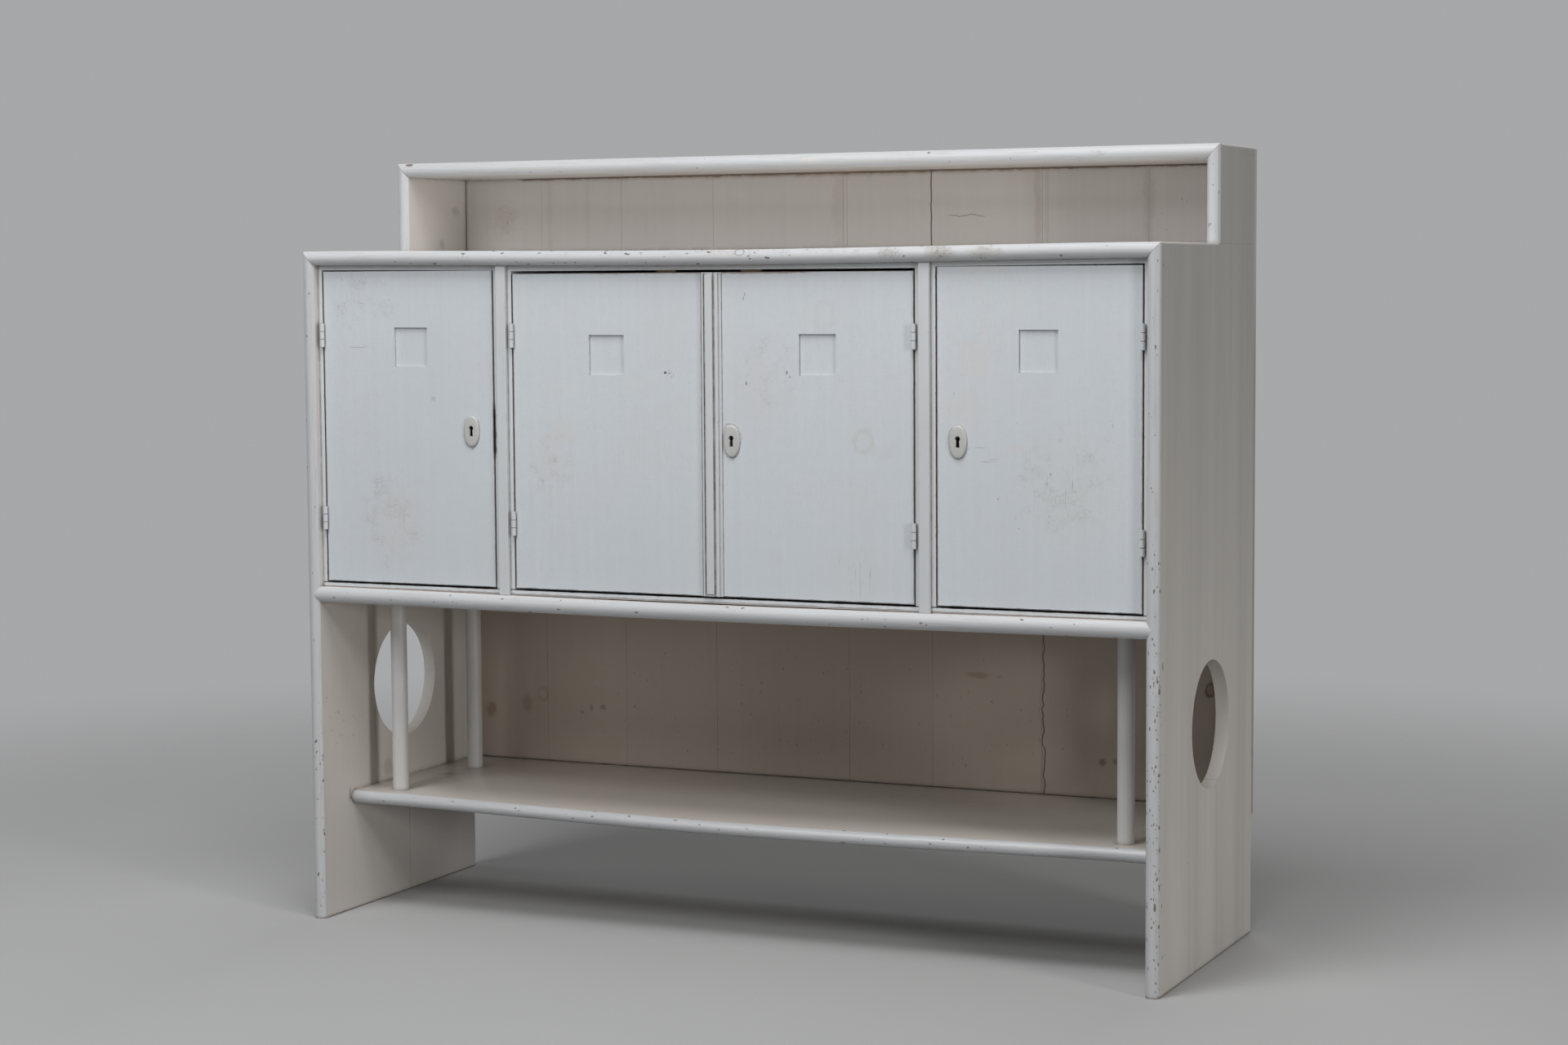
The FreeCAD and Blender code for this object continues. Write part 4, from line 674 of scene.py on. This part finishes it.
dress(paint("main_top_paint", BAY_WHITE, grain="X", noses=[(CREST_Y, 1.0, 1.2)], wear=0.28, gloss=0.45,
            tones=deck_tones, marks=[
    ("patch", 0.70, WORN, (0.406, CREST_Y, 1.138), (0.036, 0.03, 0.014)),
    ("specks", 0.80, BROWN, (0.406, CREST_Y, 1.138), (0.030, 0.03, 0.012), 0.50),
    ("craze", 1.00, BROWN, (0.406, CREST_Y, 1.138), (0.040, 0.03, 0.014)),
    ("patch", 0.60, WORN, (0.478, CREST_Y, 1.137), (0.032, 0.03, 0.013)),
    ("specks", 0.80, BROWN, (0.478, CREST_Y, 1.137), (0.026, 0.03, 0.011), 0.45),
    ("craze", 1.00, BROWN, (0.478, CREST_Y, 1.137), (0.036, 0.03, 0.013)),
    ("patch", 0.45, WORN, (0.320, CREST_Y, 1.138), (0.018, 0.03, 0.009)),
    ("craze", 0.90, BROWN, (0.320, CREST_Y, 1.138), (0.026, 0.03, 0.012)),
    ("craze", 0.45, BROWN, (-0.429, CREST_Y, 1.133), (0.05, 0.02, 0.008)),
    ("ring", 0.60, BROWN, (0.065, CREST_Y, 1.141), (0.010, 0.03, 0.006), 0.20),
    ("specks", 0.85, CHIPPED, (-0.06, CREST_Y, 1.137), (0.36, 0.03, 0.03), 0.24, 230.0),
    ("specks", 0.75, CHIPPED, (0.10, CREST_Y, 1.137), (0.85, 0.03, 0.03), 0.10, 260.0),
    ("craze", 0.45, BROWN, (0.10, CREST_Y, 1.141), (0.30, 0.02, 0.007)),
    DECK_MITRE,
]), "main_top")
dress(paint("hutch_top_paint", HUTCH_WHITE, grain="X", noses=[(HUTCH_CREST_Y, 1.2, 1.4)], wear=0.20, gloss=0.45,
            tones=outer_tones, marks=[
    ("craze", 0.50, BROWN, (0.56, HUTCH_CREST_Y, 1.297), (0.035, 0.02, 0.007)),
    HUTCH_MITRE,
    ("patch", 0.30, BEIGE, (0.05, HUTCH_CREST_Y, 1.296), (0.03, 0.02, 0.008)),
    ("patch", 0.55, TAN, (0.0, BACK_Y, HUTCH_UNDER_Z), (0.9, 0.035, 0.004)),
]), "hutch_top")
dress(paint("cupboard_bottom_paint", BAY_WHITE, grain="X", noses=[(CREST_Y, 0.5, 0.6)], wear=0.34, gloss=0.45,
            marks=[("specks", 0.80, CHIPPED, (0.0, CREST_Y, 0.563), (0.95, 0.03, 0.03), 0.06, 250.0)]),
      "cupboard_bottom")

dress(paint(
    "lower_shelf_paint", SHELF_WHITE, grain="X", mottle=0.045, noses=[(SHELF_CREST_Y, 0.15, 0.25)], wear=0.28,
    gloss=0.24, shade_and_grime=0.8, marks=[
        ("specks", 0.75, CHIPPED, (0.0, SHELF_CREST_Y, 0.198), (0.95, 0.02, 0.03), 0.09, 250.0),
        ("rim", 0.95, DARK, "Y", BACK_Y, 0.0036, "X", -INSIDE_X, INSIDE_X),
        ("scratches", 0.15, GRIME, (0.29, -0.10, SHELF_Z), (0.05, 0.03, 0.02)),
        ("patch", 0.30, TAN, (-0.67, 0.05, SHELF_Z), (0.03, 0.02, 0.02)),
    ]), "lower_shelf")


# Painted shade and light: the back boards are dark in the lower bay, where little light reaches, and lighter in the
# hutch
def back_tones(g, base):
    return g.blend(g.ramp(g.z, 0.9, 1.15), base, HUTCH_WHITE)


def rear_wood(g):
    """The rear faces of the back boards never had more than a thin wash of paint. No two boards are alike."""
    board = g.node("ShaderNodeObjectInfo").outputs["Random"]
    rings = year_rings(g, "Z")
    fibre = g.noise(1.0, g.stretched("Z", 12.0, 520.0), detail=3.0)
    share = g.plus(g.times(rings, 0.50), g.times(fibre, 0.4))
    tint = g.blend(share, EARLY_WOOD, LATE_WOOD)
    thin = g.ramp(g.plus(g.broad, g.swing(g.streak, 0.5)), 0.35, 0.75, 0.30, 0.70)
    tint = g.blend(thin, tint, THIN_WASH)
    tint = g.scaled_tone(tint, g.plus(1.0, g.swing(board, 0.20)))
    joints = 0.0
    for name in BACK_BOARDS[:-1]:
        joints = g.most(joints, g.near(g.x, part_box(name)[1].x, 0.0020))
    tint = g.blend(g.times(joints, 0.75), tint, GRIME)
    return g.ramp(g.y, REAR_Y - 0.0008, REAR_Y - 0.0002), tint, g.plus(rings, fibre)


BACK_MARKS = [
    ("rim", 0.80, BROWN, "Z", HUTCH_UNDER_Z, 0.0040, "X", -0.62, 0.72),
    ("patch", 0.35, TAN, (0.0, BACK_Y, HUTCH_UNDER_Z), (0.80, 0.01, 0.010)),
    ("rim", 0.85, BROWN, "X", -INSIDE_X, 0.0022, "Z", DECK_Z, HEAD_Z),
    ("patch", 0.09, TAN, (-0.561, BACK_Y, 1.22), (0.007, 0.01, 0.16)),
    ("patch", 0.07, TAN, (-0.482, BACK_Y, 1.21), (0.007, 0.01, 0.10)),
    ("line", 0.40, TAN, "Z", DECK_Z, HEAD_Z, "X", 0.0230, 0.0016, 0.0010),
    ("patch", 0.12, TAN, (0.014, BACK_Y, 1.22), (0.016, 0.01, 0.12)),
    ("patch", 0.22, TAN, (0.383, BACK_Y, 1.22), (0.010, 0.01, 0.14)),
    ("patch", 0.16, TAN, (0.399, BACK_Y, 1.23), (0.006, 0.01, 0.12)),
    ("patch", 0.18, TAN, (0.579, BACK_Y, 1.23), (0.014, 0.01, 0.13)),
    ("line", 0.95, DARK, "Z", 1.09, HEAD_Z, "X", 0.1880, 0.0019, 0.0022),
    ("line", 0.70, RUST, "X", 0.222, 0.285, "Z", 1.2030, 0.0014, 0.0110),
    ("patch", 0.14, TAN, (-0.655, BACK_Y, 1.21), (0.035, 0.01, 0.035)),
    ("specks", 0.60, BROWN, (-0.66, BACK_Y, 1.21), (0.05, 0.01, 0.05), 0.18),
    ("specks", 0.60, BROWN, (0.62, BACK_Y, 1.20), (0.06, 0.01, 0.04), 0.12),
    ("line", 0.98, DARK, "Z", SHELF_Z - 0.02, BOTTOM_Z, "X", 0.3935, 0.0019, 0.0100),
    ("line", 0.30, GRIME, "Z", SHELF_Z - 0.02, 0.42, "X", 0.3885, 0.0014, 0.0080),
    ("patch", 0.50, KNOT, (-0.697, BACK_Y, 0.300), (0.013, 0.01, 0.018)),
    ("patch", 0.28, KNOT, (-0.620, BACK_Y, 0.314), (0.015, 0.01, 0.024)),
    ("ring", 0.22, KNOT, (-0.588, BACK_Y, 0.334), (0.011, 0.01, 0.014), 0.45),
    ("patch", 0.36, BROWN, (-0.506, BACK_Y, 0.305), (0.007, 0.01, 0.006)),
    ("patch", 0.38, BROWN, (-0.487, BACK_Y, 0.314), (0.006, 0.01, 0.010)),
    ("patch", 0.40, BROWN, (-0.463, BACK_Y, 0.316), (0.011, 0.01, 0.008)),
    ("patch", 0.38, KNOT, (0.274, BACK_Y, 0.411), (0.026, 0.01, 0.008)),
    ("patch", 0.25, KNOT, (0.312, BACK_Y, 0.410), (0.009, 0.01, 0.006)),
    ("patch", 0.55, KNOT, (0.689, BACK_Y, 0.407), (0.014, 0.01, 0.018)),
    ("ring", 0.75, RUSTED, (0.689, BACK_Y, 0.407), (0.009, 0.01, 0.012), 0.35),
    ("patch", 0.60, BROWN, (0.500, BACK_Y, 0.273), (0.010, 0.01, 0.009)),
    ("patch", 0.50, KNOT, (0.525, BACK_Y, 0.275), (0.010, 0.01, 0.007)),
    ("specks", 0.55, BROWN, (0.0, BACK_Y, 0.33), (0.60, 0.01, 0.14), 0.07),
    ("rim", 0.85, GRIME, "Z", SHELF_Z, 0.0020, "X", -INSIDE_X, INSIDE_X),
]
dress(paint("back_paint", SHADED_WHITE, gloss=0.50, tones=back_tones, wear=0.05, mottle=0.08, shade_and_grime=0.75,
            marks=BACK_MARKS, wood=rear_wood), *BACK_BOARDS)
dress(paint("divider_paint", LINING_WHITE, wear=0.30, shade_and_grime=0.8, reach=0.004, shade_and_grime_tint=RUSTED, marks=[
    ("scratches", 0.35, BROWN, (-0.37, DOOR_Y, 0.85), (0.02, 0.02, 0.30), "Z"),
]), *DIVIDERS)
dress(paint("post_paint", POST_WHITE, wear=0.25, gloss=0.34, marks=[
    ("specks", 0.70, BROWN, (0.0, -0.13, 0.40), (0.9, 0.4, 0.22), 0.05),
]), "post_front_left", "post_front_right", "post_rear_left", "post_rear_right")

# Painted shade in the doors' gaps, and dirt where the lining meets the cupboard bottom. The first door's gap is
# painted darkest along the edge plate of its lock.
DOOR_GAP = 0.0025
CUPBOARD_FLOOR_Z = 0.577
EDGE_PLATE_LOW, EDGE_PLATE_HIGH = 0.806, 0.890
dress(paint("lining_paint", LINING_WHITE, wear=0.40, shade_and_grime=0.9, reach=0.004, shade_and_grime_tint=BROWN, marks=[
    ("rim", 0.55, BROWN, "Z", CUPBOARD_FLOOR_Z, 0.0025, "X", -0.75, 0.75),
    ("rim", 0.85, DARK, "Z", FOOT.z - DOOR_GAP, 0.0014, "X", -0.75, 0.75),
    ("rim", 0.95, DARK, "X", HEAD.x + DOOR_GAP, 0.0022, "Z", EDGE_PLATE_LOW, EDGE_PLATE_HIGH),
]), *LININGS)

INSIDE_WOOD = bare_wood("inside_wood", colour(0.50, 0.39, 0.26), colour(0.33, 0.23, 0.135))
dress(INSIDE_WOOD, *INNER_SHELVES, "door_stop_blocks")
dress(bare_wood("cleat_wood", colour(0.47, 0.36, 0.24), colour(0.31, 0.21, 0.125), grain="Y"), "shelf_cleats")

# Doors. Marks lie on the front face, by their place across and up.


def on_door(x, z):
    return (x, DOOR_Y, z)


def flat(across, up):
    """The radii of a mark that doesn't reach deep into the door."""
    return (across, 0.008, up)


DOOR_MARKS = {
    "door_1": [
        ("craze", 0.42, BROWN, on_door(-0.600, 0.700), flat(0.062, 0.092)),
        ("patch", 0.16, PINK, on_door(-0.590, 0.690), flat(0.070, 0.095)),
        ("line", 0.45, GRIME, "X", -0.674, -0.643, "Z", 0.988, 0.0010, 0.0090),
        ("patch", 0.21, GRIME, on_door(-0.513, 0.901), flat(0.007, 0.006)),
        ("specks", 0.70, BROWN, on_door(-0.417, 0.957), flat(0.022, 0.014), 0.45),
        ("specks", 0.30, BROWN, on_door(-0.660, 1.070), flat(0.060, 0.045), 0.12),
        ("craze", 0.38, BROWN, on_door(-0.650, 1.065), flat(0.070, 0.055)),
    ],
    "door_2": [
        ("patch", 0.20, BEIGE, on_door(-0.267, 0.852), flat(0.036, 0.030)),
        ("patch", 0.14, BEIGE, on_door(-0.277, 0.919), flat(0.018, 0.022)),
        ("patch", 0.12, PINK, on_door(-0.070, 1.010), flat(0.060, 0.080)),
        ("patch", 0.10, BEIGE, on_door(-0.060, 0.888), flat(0.026, 0.032)),
        ("ring", 0.23, PINK, on_door(-0.119, 0.927), flat(0.010, 0.012), 0.4),
        ("patch", 0.15, PINK, on_door(-0.290, 0.800), flat(0.046, 0.064)),
        ("craze", 0.45, BROWN, on_door(-0.290, 0.790), flat(0.045, 0.066)),
        ("scratches", 0.45, TAN, on_door(-0.292, 0.775), flat(0.018, 0.050), "Z"),
        ("specks", 0.95, DARK, on_door(-0.069, 0.947), flat(0.013, 0.008), 1.0),
        ("rim", 0.65, RUSTED, "Z", PAIR_HEAD_Z, 0.0022, "X", -0.210, 0.0),
        ("rim", 0.50, RUSTED, "Z", PAIR_HEAD_Z, 0.0014, "X", -0.360, -0.200),
    ],
    "door_3": [
        ("patch", 0.15, PINK, on_door(0.088, 0.925), flat(0.065, 0.100)),
        ("patch", 0.12, BEIGE, on_door(0.204, 1.042), flat(0.026, 0.038)),
        ("ring", 0.05, TAN, on_door(0.204, 1.040), flat(0.020, 0.026), 0.3),
        ("specks", 0.85, DARK, on_door(0.135, 0.945), flat(0.020, 0.016), 0.40),
        ("craze", 0.34, BROWN, on_door(0.110, 0.950), flat(0.060, 0.075)),
        ("specks", 0.80, DARK, on_door(0.074, 0.942), flat(0.024, 0.020), 0.50),
        ("specks", 0.50, GRIME, on_door(0.070, 1.071), flat(0.024, 0.012), 0.45),
        ("patch", 0.15, BEIGE, on_door(0.268, 0.843), flat(0.030, 0.026)),
        ("ring", 0.13, TAN, on_door(0.270, 0.843), flat(0.018, 0.019), 0.35),
        ("patch", 0.21, NOSE_WHITE, on_door(0.302, 0.826), flat(0.036, 0.016)),
        ("patch", 0.16, BEIGE, on_door(0.259, 0.635), flat(0.062, 0.055)),
        ("scratches", 0.50, GRIME, on_door(0.262, 0.632), flat(0.045, 0.040), "Z"),
        ("scratches", 0.30, GRIME, on_door(0.255, 0.917), flat(0.050, 0.008)),
        ("patch", 0.12, PINK, on_door(0.117, 0.650), flat(0.014, 0.012)),
        ("rim", 0.75, RUSTED, "Z", PAIR_HEAD_Z, 0.0028, "X", 0.020, 0.175),
        ("rim", 0.50, RUSTED, "Z", PAIR_HEAD_Z, 0.0014, "X", 0.170, 0.350),
    ],
    "door_4": [
        ("ring", 0.20, PINK, on_door(0.440, 1.050), flat(0.040, 0.070), 0.10),
        ("ring", 0.20, PINK, on_door(0.492, 1.060), flat(0.038, 0.062), 0.10),
        ("patch", 0.21, PINK, on_door(0.458, 0.972), flat(0.040, 0.040)),
        ("patch", 0.15, PINK, on_door(0.445, 0.895), flat(0.036, 0.050)),
        ("scratches", 0.55, GRIME, on_door(0.475, 0.826), flat(0.050, 0.018)),
        ("patch", 0.20, PINK, on_door(0.521, 0.834), flat(0.018, 0.010)),
        ("patch", 0.15, BEIGE, on_door(0.618, 0.775), flat(0.095, 0.105)),
        ("scratches", 0.40, GRIME, on_door(0.585, 0.762), flat(0.060, 0.045), "Z"),
        ("scratches", 0.40, BROWN, on_door(0.610, 0.785), flat(0.030, 0.040), "Z"),
        ("specks", 0.80, BROWN, on_door(0.680, 0.876), flat(0.010, 0.006), 1.0),
        ("specks", 0.70, BROWN, on_door(0.529, 0.872), flat(0.006, 0.005), 1.0),
        ("specks", 0.70, BROWN, on_door(0.425, 0.917), flat(0.006, 0.005), 1.0),
        ("specks", 0.45, BROWN, on_door(0.56, 0.760), flat(0.10, 0.06), 0.06),
        ("craze", 0.34, BROWN, on_door(0.600, 0.785), flat(0.085, 0.085)),
        ("craze", 0.22, BROWN, on_door(0.661, 0.825), flat(0.022, 0.022)),
    ],
}
# The keyhole painted near black, for its bare dark wood and as painted shade inside the hole, and the dirt round its
# plate
KEYHOLE_RADII = (0.009, 0.030, 0.018)
DIRT_RADII = (0.0180, 0.030, 0.0314)
for door in LOCKED_DOORS:
    low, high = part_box(door + "_escutcheon")
    DOOR_MARKS[door].append(("ring", 0.42, GRIME, (low + high) / 2.0, DIRT_RADII, 0.070))
    DOOR_MARKS[door].append(("patch", 1.0, DARK, (low + high) / 2.0, KEYHOLE_RADII))
# Painted shade on the first door's edge beside its lock plate, where its gap is deep
DOOR_MARKS["door_1"].append(("rim", 0.95, DARK, "X", HEAD.x, 0.0018, "Z", EDGE_PLATE_LOW, EDGE_PLATE_HIGH))
for door, door_marks in DOOR_MARKS.items():
    low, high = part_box(door + "_panel")
    door_marks += [("rim", 0.60, RUSTED, "X", edge, 0.0015, "Z", low.z, high.z) for edge in (low.x, high.x)]
    # Painted shadow along each door's foot, where the gap below it is dark
    door_marks.append(("rim", 0.80, DARK, "Z", low.z, 0.0016, "X", low.x, high.x))
    dress(paint(door + "_paint", DOOR_WHITE, gloss=0.40, wear=0.22, weave=0.045, mottle=0.07, shade_and_grime=0.70, reach=0.0020,
                shade_and_grime_tint=BROWN, marks=door_marks), door + "_panel")
dress(paint("plate_paint", PLATE_WHITE, wear=0.25, gloss=0.46, shade_and_grime=0.9, reach=0.003, mottle=0.12),
      *[door + "_escutcheon" for door in LOCKED_DOORS])
dress(paint("cover_strip_paint", LINING_WHITE, wear=0.50, shade_and_grime=1.0, reach=0.005, shade_and_grime_tint=RUSTED),
      "door_3_cover_strip")

# A hinge's knuckles meet above and below its middle
HINGE_INSET = 0.108
HALF_KNUCKLE = 0.0065
HINGE_HEIGHTS = (FOOT.z + HINGE_INSET, HEAD.z - HINGE_INSET)
KNUCKLE_JOINTS = [middle + way for middle in HINGE_HEIGHTS for way in (-HALF_KNUCKLE, HALF_KNUCKLE)]
dress(paint("hinge_paint", LINING_WHITE, wear=0.55, shade_and_grime=0.9, reach=0.004, shade_and_grime_tint=BROWN,
            marks=[("line", 0.90, BROWN, "X", -0.76, 0.76, "Z", height, 0.0010) for height in KNUCKLE_JOINTS]),
      "hinge_frame_leaves", "hinge_pins", *[door + "_hinge_leaves" for door in DOOR_MARKS])

IRON = metal("iron", colour(0.33, 0.31, 0.29), colour(0.17, 0.15, 0.14))
dress(IRON, "hinge_frame_screws", *[door + "_hinge_screws" for door in DOOR_MARKS])
dress(IRON, "strike_plate_left", "strike_plate_right", "door_2_strike_plate", "slide_bolt_keeper",
      "door_2_bolt_guide", "door_2_bolt_rod")
BLACK_IRON = metal("black_iron", colour(0.050, 0.046, 0.043), colour(0.030, 0.026, 0.024), roughness=0.55)
dress(BLACK_IRON, *[door + "_lock_case" for door in LOCKED_DOORS])
BRASS = metal("brass", colour(0.62, 0.46, 0.20), colour(0.36, 0.26, 0.13), speck=0.08)
dress(BRASS, *[door + "_lock_bolt" for door in LOCKED_DOORS])

ease(0.0011, *[door + "_panel" for door in DOOR_MARKS])
ease(0.0010, *DIVIDERS, "door_3_cover_strip")
ease(0.0006, *LININGS)
ease(0.0008, *INNER_SHELVES, "shelf_cleats", "door_stop_blocks")
ease(0.00015, *BACK_BOARDS)


# Stage: floor, world, lamps and camera

PALE = (0.385, 0.388, 0.393)
AMBIENT, AMBIENT_STRENGTH = (1.0, 0.99, 0.98), 0.015
FLOOR_RADIUS = 9.0
FLOOR_SIDES = 96
FLOOR_FADES = (1.2, 3.6)
# The floor as it lights the cabinet, and the two tones in which the camera sees it
FLOOR_BOUNCE = colour(0.20, 0.197, 0.194)
FLOOR_TONES = colour(0.415, 0.417, 0.420), colour(0.435, 0.437, 0.440)


def stage_rays(path_outputs):
    """The rays by which the background itself is seen, straight, in a reflection or through glass."""
    return [path_outputs[name] for name in ("Is Camera Ray", "Is Glossy Ray", "Is Transmission Ray")]


def make_floor():
    mesh = bpy.data.meshes.new("floor")
    shape = bmesh.new()
    bmesh.ops.create_circle(shape, cap_ends=True, segments=FLOOR_SIDES, radius=FLOOR_RADIUS)
    shape.to_mesh(mesh)
    shape.free()
    floor = bpy.data.objects.new("floor", mesh)
    bpy.context.scene.collection.objects.link(floor)
    g = Graph("floor_finish")
    seen = 0.0
    for ray in stage_rays(g.node("ShaderNodeLightPath").outputs):
        seen = g.most(seen, ray)
    own = g.blend(g.noise(2.2, detail=3.0), *FLOOR_TONES)
    surface = g.node("ShaderNodeBsdfPrincipled", {"Base Color": g.blend(seen, FLOOR_BOUNCE, own), "Roughness": 0.8})
    away = g.node("ShaderNodeVectorMath", {0: g.place}, operation="LENGTH").outputs["Value"]
    clear = g.node("ShaderNodeBsdfTransparent")
    fade = g.node("ShaderNodeMixShader", {0: g.ramp(away, *FLOOR_FADES), 1: surface.outputs[0], 2: clear.outputs[0]})
    g.tree.links.new(fade.outputs[0], g.node("ShaderNodeOutputMaterial").inputs[0])
    mesh.materials.append(g.material)


def make_world():
    world = bpy.data.worlds.new("studio")
    bpy.context.scene.world = world
    world.use_nodes = True
    tree = world.node_tree
    tree.nodes.clear()
    path = tree.nodes.new("ShaderNodeLightPath")
    seen = None
    for ray in stage_rays(path.outputs):
        if seen is None:
            seen = ray
            continue
        either = tree.nodes.new("ShaderNodeMath")
        either.operation = "MAXIMUM"
        tree.links.new(seen, either.inputs[0])
        tree.links.new(ray, either.inputs[1])
        seen = either.outputs[0]
    shaders = []
    for tint, strength in ((AMBIENT, AMBIENT_STRENGTH), (PALE, 1.0)):
        shader = tree.nodes.new("ShaderNodeBackground")
        shader.inputs["Color"].default_value = colour(*tint)
        shader.inputs["Strength"].default_value = strength
        shaders.append(shader)
    mix = tree.nodes.new("ShaderNodeMixShader")
    tree.links.new(seen, mix.inputs[0])
    tree.links.new(shaders[0].outputs[0], mix.inputs[1])
    tree.links.new(shaders[1].outputs[0], mix.inputs[2])
    output = tree.nodes.new("ShaderNodeOutputWorld")
    tree.links.new(mix.outputs[0], output.inputs[0])


def softbox(name, place, size, power, tint=(1.0, 1.0, 1.0), target=(0.0, -0.1, 0.7)):
    data = bpy.data.lights.new(name, "AREA")
    data.shape = "RECTANGLE"
    data.size, data.size_y = size
    data.energy = power
    data.color = tint
    lamp = bpy.data.objects.new(name, data)
    bpy.context.scene.collection.objects.link(lamp)
    lamp.location = place
    lamp.rotation_euler = (Vector(target) - Vector(place)).to_track_quat("-Z", "Y").to_euler()


def make_camera():
    """The camera stands a little above mid-height and to the right, and looks slightly down."""
    place = Vector((2.1077, -4.5793, 1.0971))
    yaw, down, roll = math.radians(24.508), math.radians(4.636), math.radians(-0.378)
    forward = Vector((-math.sin(yaw) * math.cos(down), math.cos(yaw) * math.cos(down), -math.sin(down)))
    right = Vector((math.cos(yaw), math.sin(yaw), 0.0))
    up = right.cross(forward)
    turned_right = right * math.cos(roll) + up * math.sin(roll)
    turned_up = up * math.cos(roll) - right * math.sin(roll)
    data = bpy.data.cameras.new("camera")
    data.sensor_width = 36.0
    data.lens = 68.796
    camera = bpy.data.objects.new("camera", data)
    bpy.context.scene.collection.objects.link(camera)
    axes = Matrix((turned_right, turned_up, -forward)).transposed().to_4x4()
    camera.matrix_world = Matrix.Translation(place) @ axes
    bpy.context.scene.camera = camera


make_floor()
make_world()
softbox("front", (-1.0, -3.6, 3.3), (2.2, 1.8), 66.0)
softbox("above", (0.3, -1.6, 4.2), (2.4, 1.6), 98.0)
softbox("low", (-1.8, -4.6, 1.3), (2.0, 1.6), 17.0)
softbox("beside", (5.8, -2.9, 3.2), (1.1, 1.1), 60.0, (1.0, 0.975, 0.94))
softbox("beside_low", (6.3, -3.1, 0.95), (0.9, 0.8), 76.0, (1.0, 0.975, 0.94), target=(-0.7, 0.0, 0.4))
softbox("other_side", (-4.4, 0.2, 2.2), (2.0, 2.0), 16.0)
softbox("behind", (0.0, 3.1, 4.4), (2.0, 1.6), 46.0, target=(0.0, 0.25, 0.8))
make_camera()
bpy.context.scene.view_settings.view_transform = "Standard"
